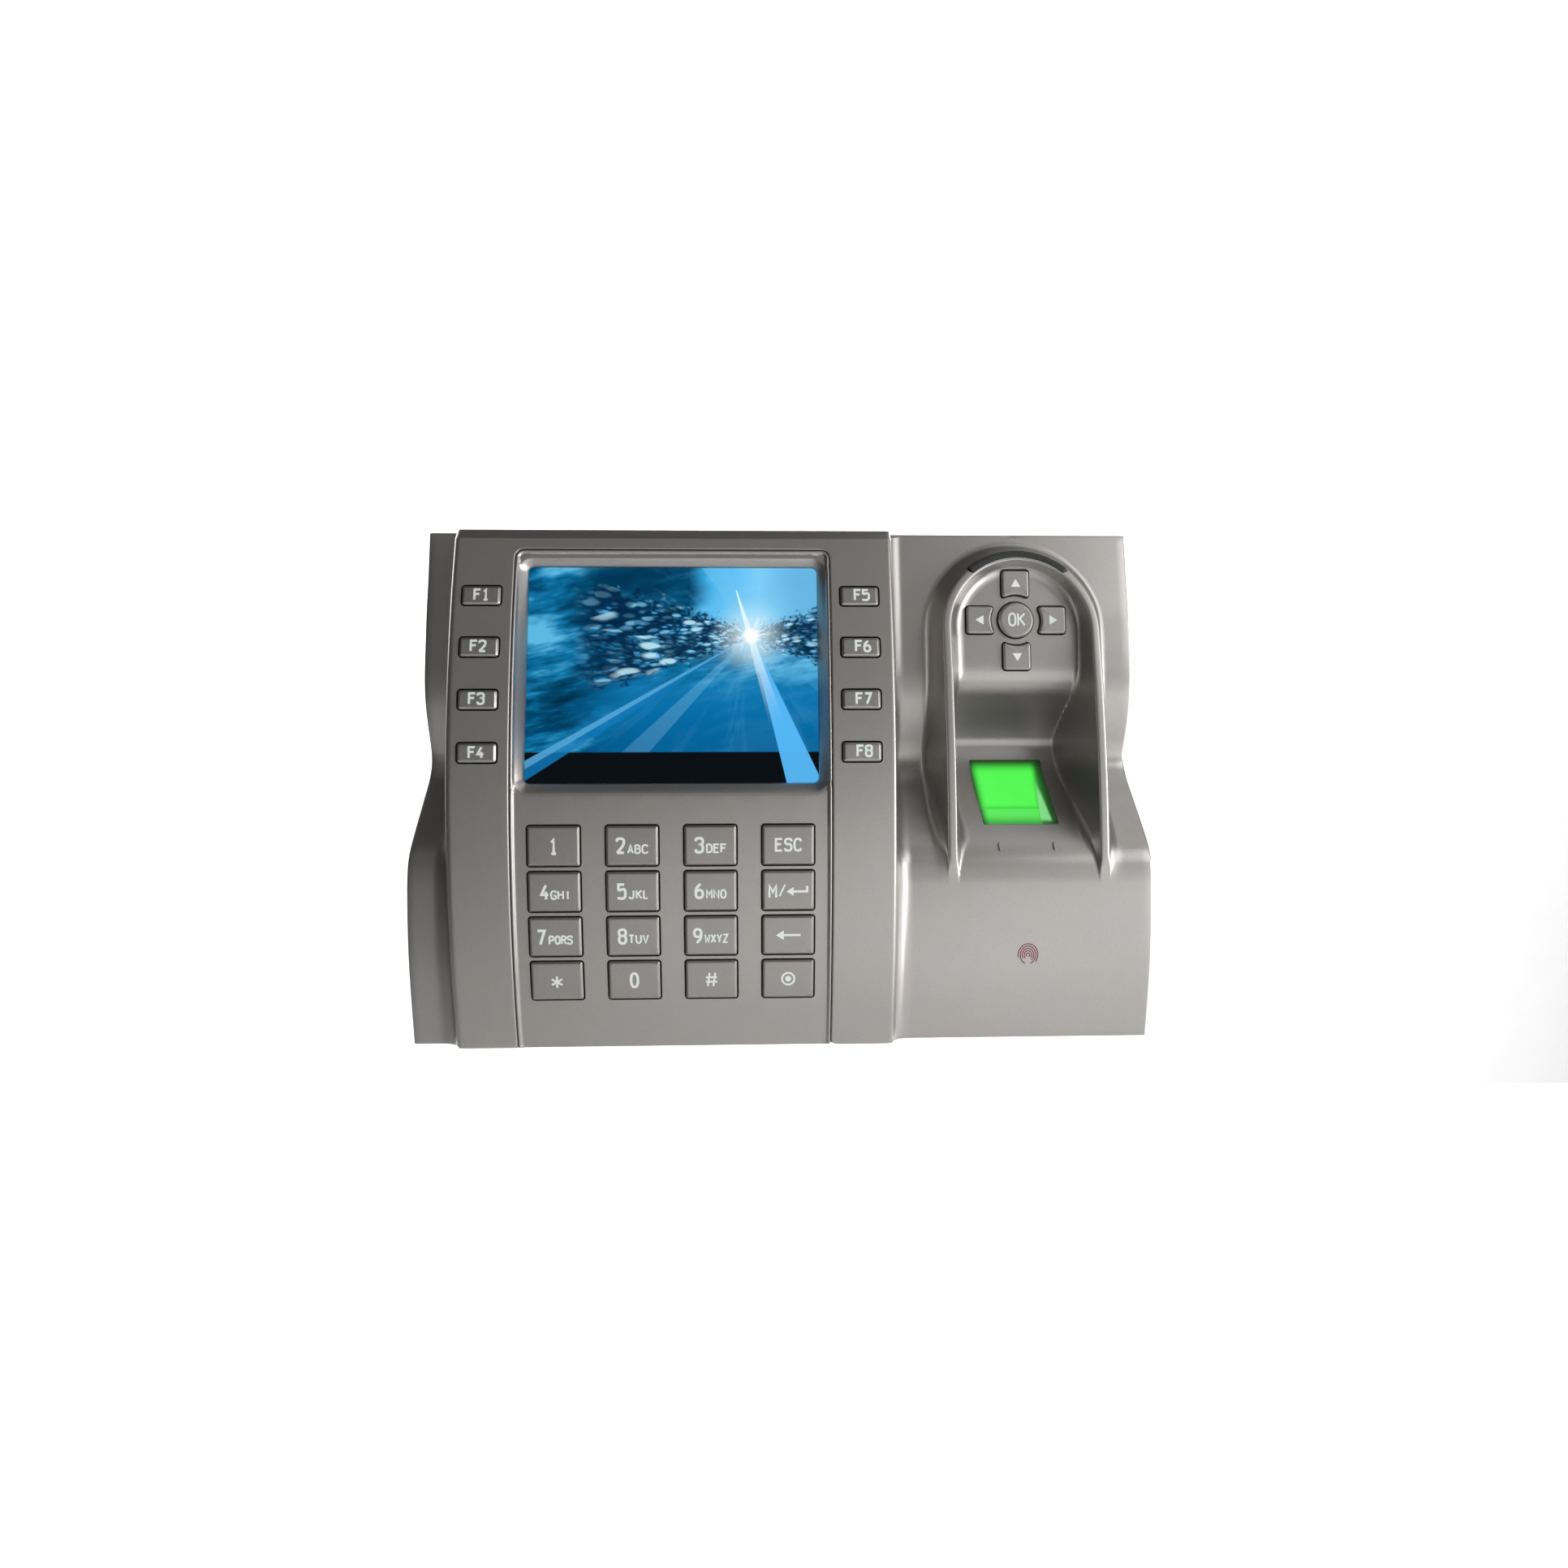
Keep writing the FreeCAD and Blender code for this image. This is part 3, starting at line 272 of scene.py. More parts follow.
def fascia_height(x, z):
    """Depth of the fascia's face: a lip round its edge, and the splay round the display."""
    edge = -fascia_distance(x, z)
    sunk = 0.12 + (FASCIA_SUNK - 0.12) * smooth(0.45, 1.15, edge)
    surface = panel_depth(z) - sunk
    away = display_distance(x, z)
    t = np.clip(away / BEZEL_WIDTH, 0.0, 1.0)
    plane = display_plane(z)
    bevel = plane + (surface - plane) * (0.12 + 0.88 * t ** 0.9)
    shaped = np.where(away < BEZEL_WIDTH, bevel, surface)
    shaped = shaped - 0.14 * np.exp(-((away - BEZEL_WIDTH) / 0.45) ** 2)
    return shaped - rounding(np.minimum(edge, z - BOTTOM), 0.3)


def display_distance(x, z):
    """Distance outside the display opening's rounded rectangle."""
    return box_distance(x, z, DISPLAY_X - DISPLAY_WIDTH / 2, DISPLAY_X + DISPLAY_WIDTH / 2,
                        DISPLAY_Z - DISPLAY_HEIGHT / 2, DISPLAY_Z + DISPLAY_HEIGHT / 2, DISPLAY_CORNER)


# ---------------------------------------------------------------- outlines

def rounded_loop(x0, x1, z0, z1, radius, step=1.2, corner_steps=5):
    """A rounded rectangle as points in (x, z), counter-clockwise."""
    points = []
    corners = [(x1 - radius, z0 + radius, -90), (x1 - radius, z1 - radius, 0),
               (x0 + radius, z1 - radius, 90), (x0 + radius, z0 + radius, 180)]
    for cx, cz, start in corners:
        for k in range(corner_steps + 1):
            a = math.radians(start + 90 * k / corner_steps)
            points.append((cx + radius * math.cos(a), cz + radius * math.sin(a)))
    return subdivide(points, step)


def subdivide(points, step):
    """Adds points along a closed loop so that no side is longer than a step."""
    result = []
    for a, b in zip(points, points[1:] + points[:1]):
        parts = max(1, int(math.ceil(math.dist(a, b) / step)))
        for k in range(parts):
            result.append((a[0] + (b[0] - a[0]) * k / parts, a[1] + (b[1] - a[1]) * k / parts))
    return result


def circle_loop(cx, cz, radius, count):
    angles = [2 * math.pi * k / count for k in range(count)]
    return [(cx + radius * math.cos(a), cz + radius * math.sin(a)) for a in angles]


def arc_loop(radius_out, radius_in, half, count=48):
    """A slice of a ring round the status light's centre."""
    def at(radius, angle):
        return (HOOD_X + radius * math.sin(angle), LIGHT_Z + radius * math.cos(angle))
    outer = [at(radius_out, half - 2 * half * k / count) for k in range(count + 1)]
    inner = [at(radius_in, -half + 2 * half * k / count) for k in range(count + 1)]
    return outer + inner


def centred_loop(cx, cz, width, height, radius, *steps):
    return rounded_loop(cx - width / 2, cx + width / 2, cz - height / 2, cz + height / 2, radius, *steps)


def nav_square_loop(name, grow):
    """A navigation key's outline: a rounded square whose side next to OK is scooped out."""
    across, up, _ = NAV_KEYS[name]
    cx, cz = HOOD_X + across * NAV_PITCH, NAV_Z + up * NAV_PITCH
    side = 2 * (NAV_HALF + grow)
    scoop = NAV_SCOOP - grow
    result = []
    for x, z in centred_loop(cx, cz, side, side, NAV_CORNER + grow, 0.6):
        dx, dz = x - HOOD_X, z - NAV_Z
        if math.hypot(dx, dz) < scoop:
            if up:
                z = NAV_Z + math.copysign(math.sqrt(max(scoop ** 2 - dx * dx, 0.0)), dz)
            else:
                x = HOOD_X + math.copysign(math.sqrt(max(scoop ** 2 - dz * dz, 0.0)), dx)
        result.append((x, z))
    return result


def inside_loop(points, loop):
    """Which (x, z) points lie inside a loop."""
    inside = np.zeros(len(points), bool)
    x, z = points[:, 0], points[:, 1]
    lx, lz = np.array(loop).T
    near = (x > lx.min()) & (x < lx.max()) & (z > lz.min()) & (z < lz.max())
    px, pz = x[near], z[near]
    flip = np.zeros(len(px), bool)
    for x0, z0, x1, z1 in zip(lx, lz, np.roll(lx, -1), np.roll(lz, -1)):
        if z0 != z1:
            flip ^= ((z0 > pz) != (z1 > pz)) & (px < (x1 - x0) * (pz - z0) / (z1 - z0) + x0)
    inside[near] = flip
    return inside


def loop_distance(points, loop):
    """Shortest distance of each point from a loop, exact only near it."""
    far, margin = 9.0, 2
    best = np.full(len(points), far)
    ends = np.array(loop)
    low, high = ends.min(axis=0) - margin, ends.max(axis=0) + margin
    near = ((points > low) & (points < high)).all(axis=1)
    p = points[near]
    found = np.full(len(p), far)
    for a, b in zip(ends, np.roll(ends, -1, axis=0)):
        ab = b - a
        t = np.clip(((p - a) @ ab) / max(ab @ ab, 1e-12), 0, 1)
        found = np.minimum(found, np.linalg.norm(p - (a + t[:, None] * ab), axis=1))
    best[near] = found
    return best


# ---------------------------------------------------------------- meshes

def world(x, depth, z):
    return np.stack([np.asarray(x, float), -np.asarray(depth, float), np.asarray(z, float)], axis=-1) * MM


def make_object(name, vertices, faces, material, body=ROOT_BODY, sharp=35.0):
    mesh = bpy.data.meshes.new(name)
    mesh.from_pydata([tuple(v) for v in vertices], [], [tuple(int(i) for i in f) for f in faces])
    mesh.validate()
    outward = bmesh.new()
    outward.from_mesh(mesh)
    bmesh.ops.recalc_face_normals(outward, faces=outward.faces)
    outward.to_mesh(mesh)
    outward.free()
    mesh.shade_smooth()
    mesh.set_sharp_from_angle(angle=math.radians(sharp))
    item = bpy.data.objects.new(name, mesh)
    bpy.context.scene.collection.objects.link(item)
    mesh.materials.append(material)
    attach(item, body)
    return item


def ring_faces(rings, count):
    """Quads between closed rings of points that follow each other."""
    pairs = [(k, (k + 1) % count) for k in range(count)]
    return [(low + k, low + m, low + count + m, low + count + k)
            for low in range(0, (rings - 1) * count, count) for k, m in pairs]


def capped_faces(rings, count):
    """Faces of a solid of rings; two more points follow them and close its last and its first ring."""
    hub = rings * count
    top = [(hub - count + k, hub - count + (k + 1) % count, hub) for k in range(count)]
    return ring_faces(rings, count) + top + [((k + 1) % count, k, hub + 1) for k in range(count)]


def stand_in(node):
    """Hides a CAD node that a detailed piece stands in for."""
    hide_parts(node)


class Sheet:
    """A flat triangulation in (x, z) with holes, to be lifted into one or two surfaces."""

    def __init__(self, border, holes, scatter, bands):
        """Each band is a loop, the distances of the rings that follow it, and the room it clears."""
        loops = [border] + holes
        for loop, offsets, room in bands:
            scatter = scatter[loop_distance(scatter, loop) > room]
        rows = [offset_loop(loop, offset) for loop, offsets, room in bands for offset in offsets]
        scatter = np.concatenate([scatter] + rows)
        keep = inside_loop(scatter, border) & (loop_distance(scatter, border) > 0.08)
        for hole in holes:
            keep &= ~inside_loop(scatter, hole) & (loop_distance(scatter, hole) > 0.16)
        points = [Vector(p) for loop in loops for p in loop] + [Vector(p) for p in scatter[keep]]
        starts = np.cumsum([0] + [len(loop) for loop in loops])
        edges = [(int(start) + k, int(start) + (k + 1) % len(loop))
                 for start, loop in zip(starts, loops) for k in range(len(loop))]
        vertices, _, faces, origins, _, _ = delaunay_2d_cdt(points, edges, [], 0, 1e-7)
        found = {source: index for index, sources in enumerate(origins) for source in sources}
        self.points = np.array([[v[0], v[1]] for v in vertices])
        triangles = np.array([f for f in faces if len(f) == 3])
        middle = self.points[triangles].mean(axis=1)
        good = inside_loop(middle, border)
        for hole in holes:
            good &= ~inside_loop(middle, hole)
        self.triangles = triangles[good]
        self.loops = [[found[int(start) + k] for k in range(len(loop))]
                      for start, loop in zip(starts, loops)]


def grid_points(xs, zs):
    gx, gz = np.meshgrid(xs, zs)
    return np.stack([gx.ravel(), gz.ravel()], axis=1)


def thin_out(values, gap):
    """Sorted values with no two closer than a gap."""
    kept = []
    for v in sorted(values):
        if not kept or v - kept[-1] >= gap:
            kept.append(v)
    return np.array(kept)


def near_edge(edge, outward):
    """Lines that crowd round an edge; outward is the sign of its falling side."""
    inner = [0.0, 0.08, 0.2, 0.4, 0.6, 0.85, 1.15, 1.6, 2.1]
    outer = [0.12, 0.35, 0.5, 0.8, 1.2, 1.7, 2.3, 3.0, 3.8, 4.6, 5.35, 6.2]
    return [edge - outward * v for v in inner] + [edge + outward * v for v in outer]


# Radii of the rings of points round the hood, crowded at its two edges.
HOOD_RINGS = [round(13.9 + 0.35 * k, 2) for k in range(15)] + [
    19.1, 19.35, 19.55, 19.68, 19.75, 19.85, 20.0, 20.25, 20.8, 21.2, 21.45, 21.65, 21.85, 22.0, 22.12,
    22.22, 22.3, 22.35, 22.45, 22.65, 22.95, 23.4, 23.9, 24.5, 25.1, 25.7, 26.35, 27.0]


def cover_columns():
    even = list(np.arange(-HALF_WIDTH, HALF_WIDTH, 2.2))
    return thin_out(even + near_edge(PANEL_LEFT, -1) + near_edge(PANEL_RIGHT, 1), 0.01)


def top_in_columns(loop):
    """Puts a border's top points on the columns, so that the steep wall below them stays even."""
    high = [k for k, point in enumerate(loop) if point[1] > TOP - 1e-6]
    right, left = loop[high[0]], loop[high[-1]]
    run = [(float(x), TOP) for x in cover_columns()[::-1] if left[0] + 0.05 < x < right[0] - 0.05]
    return loop[:high[0] + 1] + run + loop[high[-1]:]


def cover_points():
    """Scattered points of the front cover, crowded where its shape turns."""
    zs = list(np.arange(BOTTOM, PANEL_TOP, 1.6)) + list(np.arange(HOOD_END, HOOD_Z + 0.2, 0.8))
    zs += list(np.arange(24.5, 31.0, 0.4)) + list(np.arange(4.5, 14.0, 0.45))
    zs += [CHAMFER_Z - 0.2, CHAMFER_Z, CHAMFER_Z + 0.2]
    zs += [PANEL_TOP + v for v in (-0.6, -0.35, -0.15, 0.0, 0.12, 0.24, 0.36, 0.46, 0.6, 0.75, 0.9)]
    hood_bottom = HOOD_END - 2.0
    hood_xs = sorted(HOOD_X + side * radius for radius in HOOD_RINGS for side in (-1, 1))
    hood_zs = [z for z in zs if hood_bottom < z <= HOOD_Z]
    plain = grid_points(cover_columns(), thin_out(zs, 0.01))
    hood = grid_points(hood_xs, thin_out(hood_zs, 0.2))
    inner = grid_points(np.arange(HOOD_X - 13.2, HOOD_X + 13.3, 1.1),
                        thin_out(hood_zs + list(np.arange(HOOD_Z, 60, 1.2)), 0.2))
    inner = inner[hood_distance(*inner.T) < HOOD_RINGS[0] - 0.3]
    polar = np.array([(HOOD_X + radius * math.cos(a), HOOD_Z + radius * math.sin(a))
                      for radius in HOOD_RINGS for a in np.linspace(0, math.pi, 92)[1:-1]])
    clear = (hood_distance(*plain.T) > HOOD_RINGS[-1] + 0.4) | (plain[:, 1] < hood_bottom)
    return np.concatenate([plain[clear], hood, inner, polar])


def shell(name, sheet, upper, lower, material, sharp, rim_shift=None, seam=None):
    """A closed skin between two depths over a sheet, with walls round its holes and border.

    With a seam depth the border's wall runs down to it, and rim_shift moves the inner skin in.
    """
    count = len(sheet.points)
    x, z = sheet.points.T
    ix, iz = rim_shift(x, z) if rim_shift else (x, z)
    vertices = [world(x, upper, z), world(ix, lower, iz)]
    faces = [tuple(f) for f in sheet.triangles] + [tuple(f) for f in sheet.triangles[:, ::-1] + count]
    extra = 2 * count
    for index, loop in enumerate(sheet.loops):
        n = len(loop)
        ring = np.array(loop)
        rings = [ring]
        if index == 0 and seam is not None:
            flat = np.full(n, seam)
            for px, depth, pz in ((x, (upper[ring] + seam) / 2, z), (x, flat, z), (ix, flat, iz)):
                vertices.append(world(px[ring], depth, pz[ring]))
                rings.append(np.arange(extra, extra + n))
                extra += n
        rings.append(ring + count)
        for a, b in zip(rings, rings[1:]):
            faces += [(a[k], a[(k + 1) % n], b[(k + 1) % n], b[k]) for k in range(n)]
    return make_object(name, np.concatenate(vertices), faces, material, sharp=sharp)


def pull_in(x, z):
    """Moves the inner skin's border in from the outer one by the wall's thickness."""
    def squeeze(value, low, high):
        band = 6.0
        over = np.maximum(value - (high - band), 0.0) - np.maximum(low + band - value, 0.0)
        return value - over * WALL / band
    return squeeze(x, -HALF_WIDTH, HALF_WIDTH), squeeze(z, BOTTOM, TOP)


def inner_height(x, z):
    """The cover's inner skin: under the outer one, and under its steep walls too."""
    reach = 1.6
    lowest = cover_height(x, z)
    for turn in range(8):
        a = turn * math.pi / 4
        near_x = np.clip(x + reach * math.cos(a), EDGE_ROUND - HALF_WIDTH, HALF_WIDTH - EDGE_ROUND)
        near_z = np.clip(z + reach * math.sin(a), BOTTOM + EDGE_ROUND, TOP - EDGE_ROUND)
        lowest = np.minimum(lowest, cover_height(near_x, near_z))
    return np.maximum(lowest - WALL, SEAM_DEPTH + 0.3)


def key_span(node):
    """A key's face in x and z, from its CAD node, whose flange is wider in x."""
    x0, x1 = node_span(node, X_AXIS)
    return x0 + FLANGE, x1 - FLANGE, *node_span(node, Z_AXIS)


def key_middle(node):
    x0, x1, z0, z1 = key_span(node)
    return (x0 + x1) / 2, (z0 + z1) / 2


def key_holes(nodes, radius):
    g = KEY_GAP
    return [rounded_loop(x0 - g, x1 + g, z0 - g, z1 + g, radius + g)
            for x0, x1, z0, z1 in map(key_span, nodes)]


def window_loop(grow):
    """The finger window's outline seen from the front."""
    half_z = WINDOW_LENGTH / 2 * math.sin(RAMP_ANGLE) + grow
    half_x = WINDOW_WIDTH / 2 + grow
    return rounded_loop(HOOD_X - half_x, HOOD_X + half_x, RAMP_Z - half_z, RAMP_Z + half_z, 0.4, 1.0, 3)


def build_cover(material):
    border = top_in_columns(rounded_loop(-HALF_WIDTH, HALF_WIDTH, BOTTOM, TOP, 0.8, 1.4))
    holes = key_holes(FUNCTION_NODES, 0.7) + key_holes(DIGIT_NODES, 0.3)
    display_room = rounded_loop(FASCIA_LEFT + 0.9, FASCIA_RIGHT - 0.9, -0.8, FASCIA_TOP - 1.8, 1.0, 2.0)
    holes.append(display_room)
    holes += [nav_square_loop(name, 0.38) for name in NAV_KEYS]
    holes.append(circle_loop(HOOD_X, NAV_Z, OK_HOLE, 64))
    holes.append(arc_loop(LIGHT_OUTER + 0.08, LIGHT_OUTER - LIGHT_WIDTH - 0.08, LIGHT_HALF_ANGLE + 0.004))
    holes.append(window_loop(0.1))
    gap = OPENING_GAP
    opening = rounded_loop(FASCIA_LEFT - gap, FASCIA_RIGHT + gap, BOTTOM - 10.0, FASCIA_TOP + gap,
                           FASCIA_CORNER + gap, 1.4, 8)
    bands = [(border, (0.12, 0.25, 0.4, 0.6), 0.66),
             (opening, (0.05, 0.0, -0.1, -0.22, -0.36, -0.5, -0.8), 1.1)]
    sheet = Sheet(border, holes, cover_points(), bands)
    x, z = sheet.points.T
    cover = shell("housing_front", sheet, cover_height(x, z), inner_height(x, z), material, 38.0,
                  pull_in, SEAM_DEPTH)
    stand_in("front_cover")


def fascia_outline():
    """Round corners above, square ones below."""
    full = rounded_loop(FASCIA_LEFT, FASCIA_RIGHT, BOTTOM - 10.0, FASCIA_TOP, FASCIA_CORNER, 1.4, 8)
    low = BOTTOM + 0.05
    kept = [point for point in full if point[1] > low + 0.5]
    split = max(range(len(kept)), key=lambda k: math.dist(kept[k], kept[(k + 1) % len(kept)]))
    kept = kept[split + 1:] + kept[:split + 1]
    return subdivide(kept + [(FASCIA_LEFT, low), (FASCIA_RIGHT, low)], 1.4)


def build_fascia(material):
    border = fascia_outline()
    opening = centred_loop(DISPLAY_X, DISPLAY_Z, DISPLAY_WIDTH, DISPLAY_HEIGHT, DISPLAY_CORNER, 1.4, 8)
    scatter = grid_points(np.arange(FASCIA_LEFT, FASCIA_RIGHT, 1.6), np.arange(BOTTOM, FASCIA_TOP, 1.4))
    bands = [(border, (0.12, 0.24, 0.38, 0.5, 0.62, 0.75, 0.9, 1.05, 1.2, 1.5), 2.0),
             (opening, [-v for v in (0.25, 0.6, 1.1, 1.6, 1.95, 2.15, 2.3, 2.45, 2.6, 2.8, 3.1)], 3.6)]
    sheet = Sheet(border, key_holes(DIGIT_NODES, 0.6) + [opening], scatter, bands)
    x, z = sheet.points.T
    top = fascia_height(x, z)
    under = np.minimum(top - 1.0, panel_depth(z) - FASCIA_THICKNESS)
    fascia = shell("fascia_inlay", sheet, top, under, material, 50.0)
    stand_in("display_fascia")


# ---------------------------------------------------------------- keys

def offset_loop(loop, inset):
    """Moves a counter-clockwise loop inwards along its corner bisectors."""
    def unit(vectors):
        return vectors / np.maximum(np.linalg.norm(vectors, axis=1, keepdims=True), 1e-9)
    points = np.array(loop)
    along = unit(points - np.roll(points, 1, axis=0)) + unit(np.roll(points, -1, axis=0) - points)
    return points + unit(np.stack([-along[:, 1], along[:, 0]], axis=1)) * inset


def key_cap(name, loop, face, body, material, bevel, fall, skirt):
    """A moulded key: a crisp bevel round a gently shaped face, over a straight skirt."""
    steps = [(0.0, -skirt), (0.0, -fall - 0.28), (0.05, -fall - 0.12), (0.16, -fall - 0.02),
             (0.3, -fall + 0.1), (bevel - 0.12, -0.055), (bevel, -0.015), (bevel + 0.14, 0.0),
             (bevel + 0.4, 0.0)]
    count = len(loop)
    centre = np.array(loop).mean(axis=0)
    last = offset_loop(loop, steps[-1][0])
    rings = [(offset_loop(loop, inset), lift) for inset, lift in steps]
    rings += [(centre + (last - centre) * shrink, 0.0) for shrink in (0.66, 0.33)]
    rings.append((centre[None], 0.0))
    vertices = [world(ring[:, 0], face(ring[:, 0], ring[:, 1]) + lift, ring[:, 1]) for ring, lift in rings]
    low = np.min(face(*np.array(loop).T)) - skirt - 0.2
    vertices.append(world([centre[0]], [low], [centre[1]]))
    faces = capped_faces(len(rings) - 1, count)
    return make_object(name, np.concatenate(vertices), faces, material, body, 50.0)


def digit_face(x, z):
    return panel_depth(z) - FASCIA_SUNK + KEY_RISE


def function_key_face(x, z):
    return panel_depth(z) + KEY_RISE


def nav_key_face(x, z):
    return nav_plane(z) + NAV_RISE


def ok_face(x, z):
    return nav_plane(z) + OK_RISE


def build_keys():
    # Painted shade: the keys' paint is the one silver paint darkened, to 0.86 on the keypad keys and 0.98
    # on the function and navigation keys.
    shaded_digit_paint = silver_paint("silver_digit_key", 0.86)
    shaded_function_paint = silver_paint("silver_function_key", 0.98)
    shaded_nav_paint = silver_paint("silver_nav_key", 0.98)
    # Each key's node, slot, outline, face and paint, then its bevel, its fall and its skirt.
    caps = [(node, "keypad_key", rounded_loop(*key_span(node), DIGIT_CORNER, 1.6), digit_face,
             shaded_digit_paint, (0.5, 0.32, 2.9)) for node in DIGIT_NODES]
    caps += [(node, "function_key", rounded_loop(*key_span(node), FUNCTION_CORNER, 1.4), function_key_face,
              shaded_function_paint, (0.6, 0.42, 2.9)) for node in FUNCTION_NODES]
    caps += [("nav_" + name, "nav_key", nav_square_loop(name, 0.0), nav_key_face, shaded_nav_paint,
              (0.42, 0.4, 4.2)) for name in NAV_KEYS]
    caps.append(("nav_ok", "nav_key", circle_loop(HOOD_X, NAV_Z, OK_RADIUS, 64), ok_face, shaded_nav_paint,
                 (0.6, 0.4, 4.4)))
    for node, slot_name, loop, face, paint, shape in caps:
        cap = key_cap("cap_" + node.removeprefix("key_"), loop, face, node + "_body", paint, *shape)
        stand_in(node)


# ---------------------------------------------------------------- printed legends

# Strokes of each character on a grid 6 wide and 9 high: "=" straight, "~" rounded, "@" rounded and closed.
STROKES = {
    "0": "@00 60 69 09", "1": "=17 39 30|=10 50", "2": "~07 09 69 65 00|=00 60",
    "3": "~07 09 69 65 25|~25 65 60 00 02", "4": "=49 03 63|=45 40", "5": "=59 09 05|~05 36 66 60 00 01",
    "6": "@00 60 65 05|~02 06 49", "7": "=09 69 20", "8": "@00 60 65 05|@05 65 69 09",
    "9": "@04 64 69 09|~67 63 20", "A": "=00 39 60|=13 53", "B": "=00 09|~09 59 65 25|~05 65 60 00",
    "C": "~67 69 09 00 60 62", "D": "=00 09|~09 69 60 00", "E": "=60 00 09 69|=05 55",
    "F": "=00 09 69|=05 55", "G": "~67 69 09 00 60 64|=64 34", "H": "=00 09|=60 69|=05 65",
    "I": "=30 39", "J": "~59 50 00 02", "K": "=00 09|=69 04|=25 60", "L": "=09 00 50",
    "M": "=00 09 34 69 60", "N": "=00 09 60 69", "O": "@00 60 69 09", "P": "=00 09|~09 69 64 04",
    "Q": "@00 60 69 09|=42 60", "R": "=00 09|~09 69 65 05|=35 60", "S": "~67 69 09 05 65 60 00 02",
    "T": "=30 39|=09 69", "U": "~09 00 60 69", "V": "=09 30 69", "W": "=09 10 35 50 69",
    "X": "=00 69|=09 60", "Y": "=09 34 69|=34 30", "Z": "=09 69 00 60", "/": "=00 69",
    "#": "=10 29|=40 59|=03 63|=06 66",
}
GRID_WIDTH, GRID_HEIGHT = 6.0, 9.0


def rounded_path(points, closed):
    """Cuts a path's corners twice, keeping an open path's ends."""
    for _ in range(2):
        path = np.array(points + points[:1] if closed else points, float)
        a, b = path[:-1], path[1:]
        quarters = np.stack([a * 0.75 + b * 0.25, a * 0.25 + b * 0.75], axis=1)
        cut = [tuple(point) for point in quarters.reshape(-1, 2)]
        points = cut if closed else [points[0]] + cut[1:-1] + [points[-1]]
    return points


def ribbon(points, width, closed=False):
    """A flat stroke along a path, mitred at its corners."""
    path = np.array(points, float)
    ahead = np.roll(path, -1, axis=0) - path
    behind = path - np.roll(path, 1, axis=0)
    if not closed:
        ahead[-1], behind[0] = behind[-1], ahead[0]
    ahead /= np.linalg.norm(ahead, axis=1, keepdims=True)
    behind /= np.linalg.norm(behind, axis=1, keepdims=True)
    along = ahead + behind
    along /= np.maximum(np.linalg.norm(along, axis=1, keepdims=True), 1e-6)
    reach = width / 2 / np.maximum((along * ahead).sum(axis=1), 0.55)
    side = np.stack([-along[:, 1], along[:, 0]], axis=1) * reach[:, None]
    count = len(path)
    links = [(k, (k + 1) % count) for k in range(count if closed else count - 1)]
    return np.concatenate([path + side, path - side]), [(a, a + count, b + count, b) for a, b in links]


def lettering(text, height, stroke, squeeze=0.8, space=2.4):
    """A line of text, its lower left corner at the origin, as flat strokes."""
    unit = height / GRID_HEIGHT
    shapes = []
    pen = 0.0
    for letter in text:
        for kind, *path in STROKES[letter].split("|"):
            points = [((int(across) * squeeze + pen) * unit, int(up) * unit)
                      for across, up in "".join(path).split()]
            closed = kind == "@"
            if kind != "=":
                points = rounded_path(points, closed)
            shapes.append(ribbon(points, stroke, closed))
        pen += GRID_WIDTH * squeeze * (0.8 if letter in "I1" else 1.0) + space
    return joined(shapes)


def placed(shape, x, z):
    """Centres a flat shape on (x, z)."""
    points, faces = shape
    middle = (points.min(axis=0) + points.max(axis=0)) / 2
    return points - middle + np.array([x, z]), faces


def joined(shapes):
    points, faces, start = [], [], 0
    for p, f in shapes:
        points.append(p)
        faces += [tuple(i + start for i in face) for face in f]
        start += len(p)
    return np.concatenate(points), faces


def polygon(points):
    return np.array(points, float), [tuple(range(len(points)))]


def ring_shape(x, z, outer, inner, count=40):
    return np.array(circle_loop(x, z, outer, count) + circle_loop(x, z, inner, count)), ring_faces(2, count)


def disc_shape(x, z, radius, count=24):
    return polygon(circle_loop(x, z, radius, count))


def bar(x0, z0, x1, z1, width):
    """A straight printed stroke."""
    dx, dz = x1 - x0, z1 - z0
    length = math.hypot(dx, dz)
    nx, nz = -dz / length * width / 2, dx / length * width / 2
    return polygon([(x0 - nx, z0 - nz), (x1 - nx, z1 - nz), (x1 + nx, z1 + nz), (x0 + nx, z0 + nz)])


def arrow_left(x, z, length, stroke, head):
    tip_x, neck_x, half = x - length / 2, x - length / 2 + head, head * 0.62
    return [bar(tip_x + head * 0.8, z, x + length / 2, z, stroke),
            polygon([(tip_x, z), (neck_x, z - half), (neck_x, z + half)])]


def asterisk(x, z, radius, stroke):
    reach = [(radius * math.cos(a), radius * math.sin(a))
             for a in (math.pi / 2 + turn * math.pi / 3 for turn in range(3))]
    return [bar(x - dx, z - dz, x + dx, z + dz, stroke) for dx, dz in reach]


PRINT_LIFT, PRINT_THICK = 0.012, 0.02


def print_on(name, shapes, face, body, material):
    """A printed layer: closed, paper thin, and lying on a face."""
    points, faces = joined(shapes)
    count = len(points)
    x, z = points.T
    upper = face(x, z) + PRINT_LIFT
    vertices = np.concatenate([world(x, upper, z), world(x, upper - PRINT_THICK, z)])
    solid = list(faces) + [tuple(i + count for i in reversed(f)) for f in faces]
    edges = dict.fromkeys(edge for f in faces for edge in zip(f, f[1:] + f[:1]))
    solid += [(b, a, a + count, b + count) for a, b in edges if (b, a) not in edges]
    item = make_object(name, vertices, solid, material, body, 30.0)


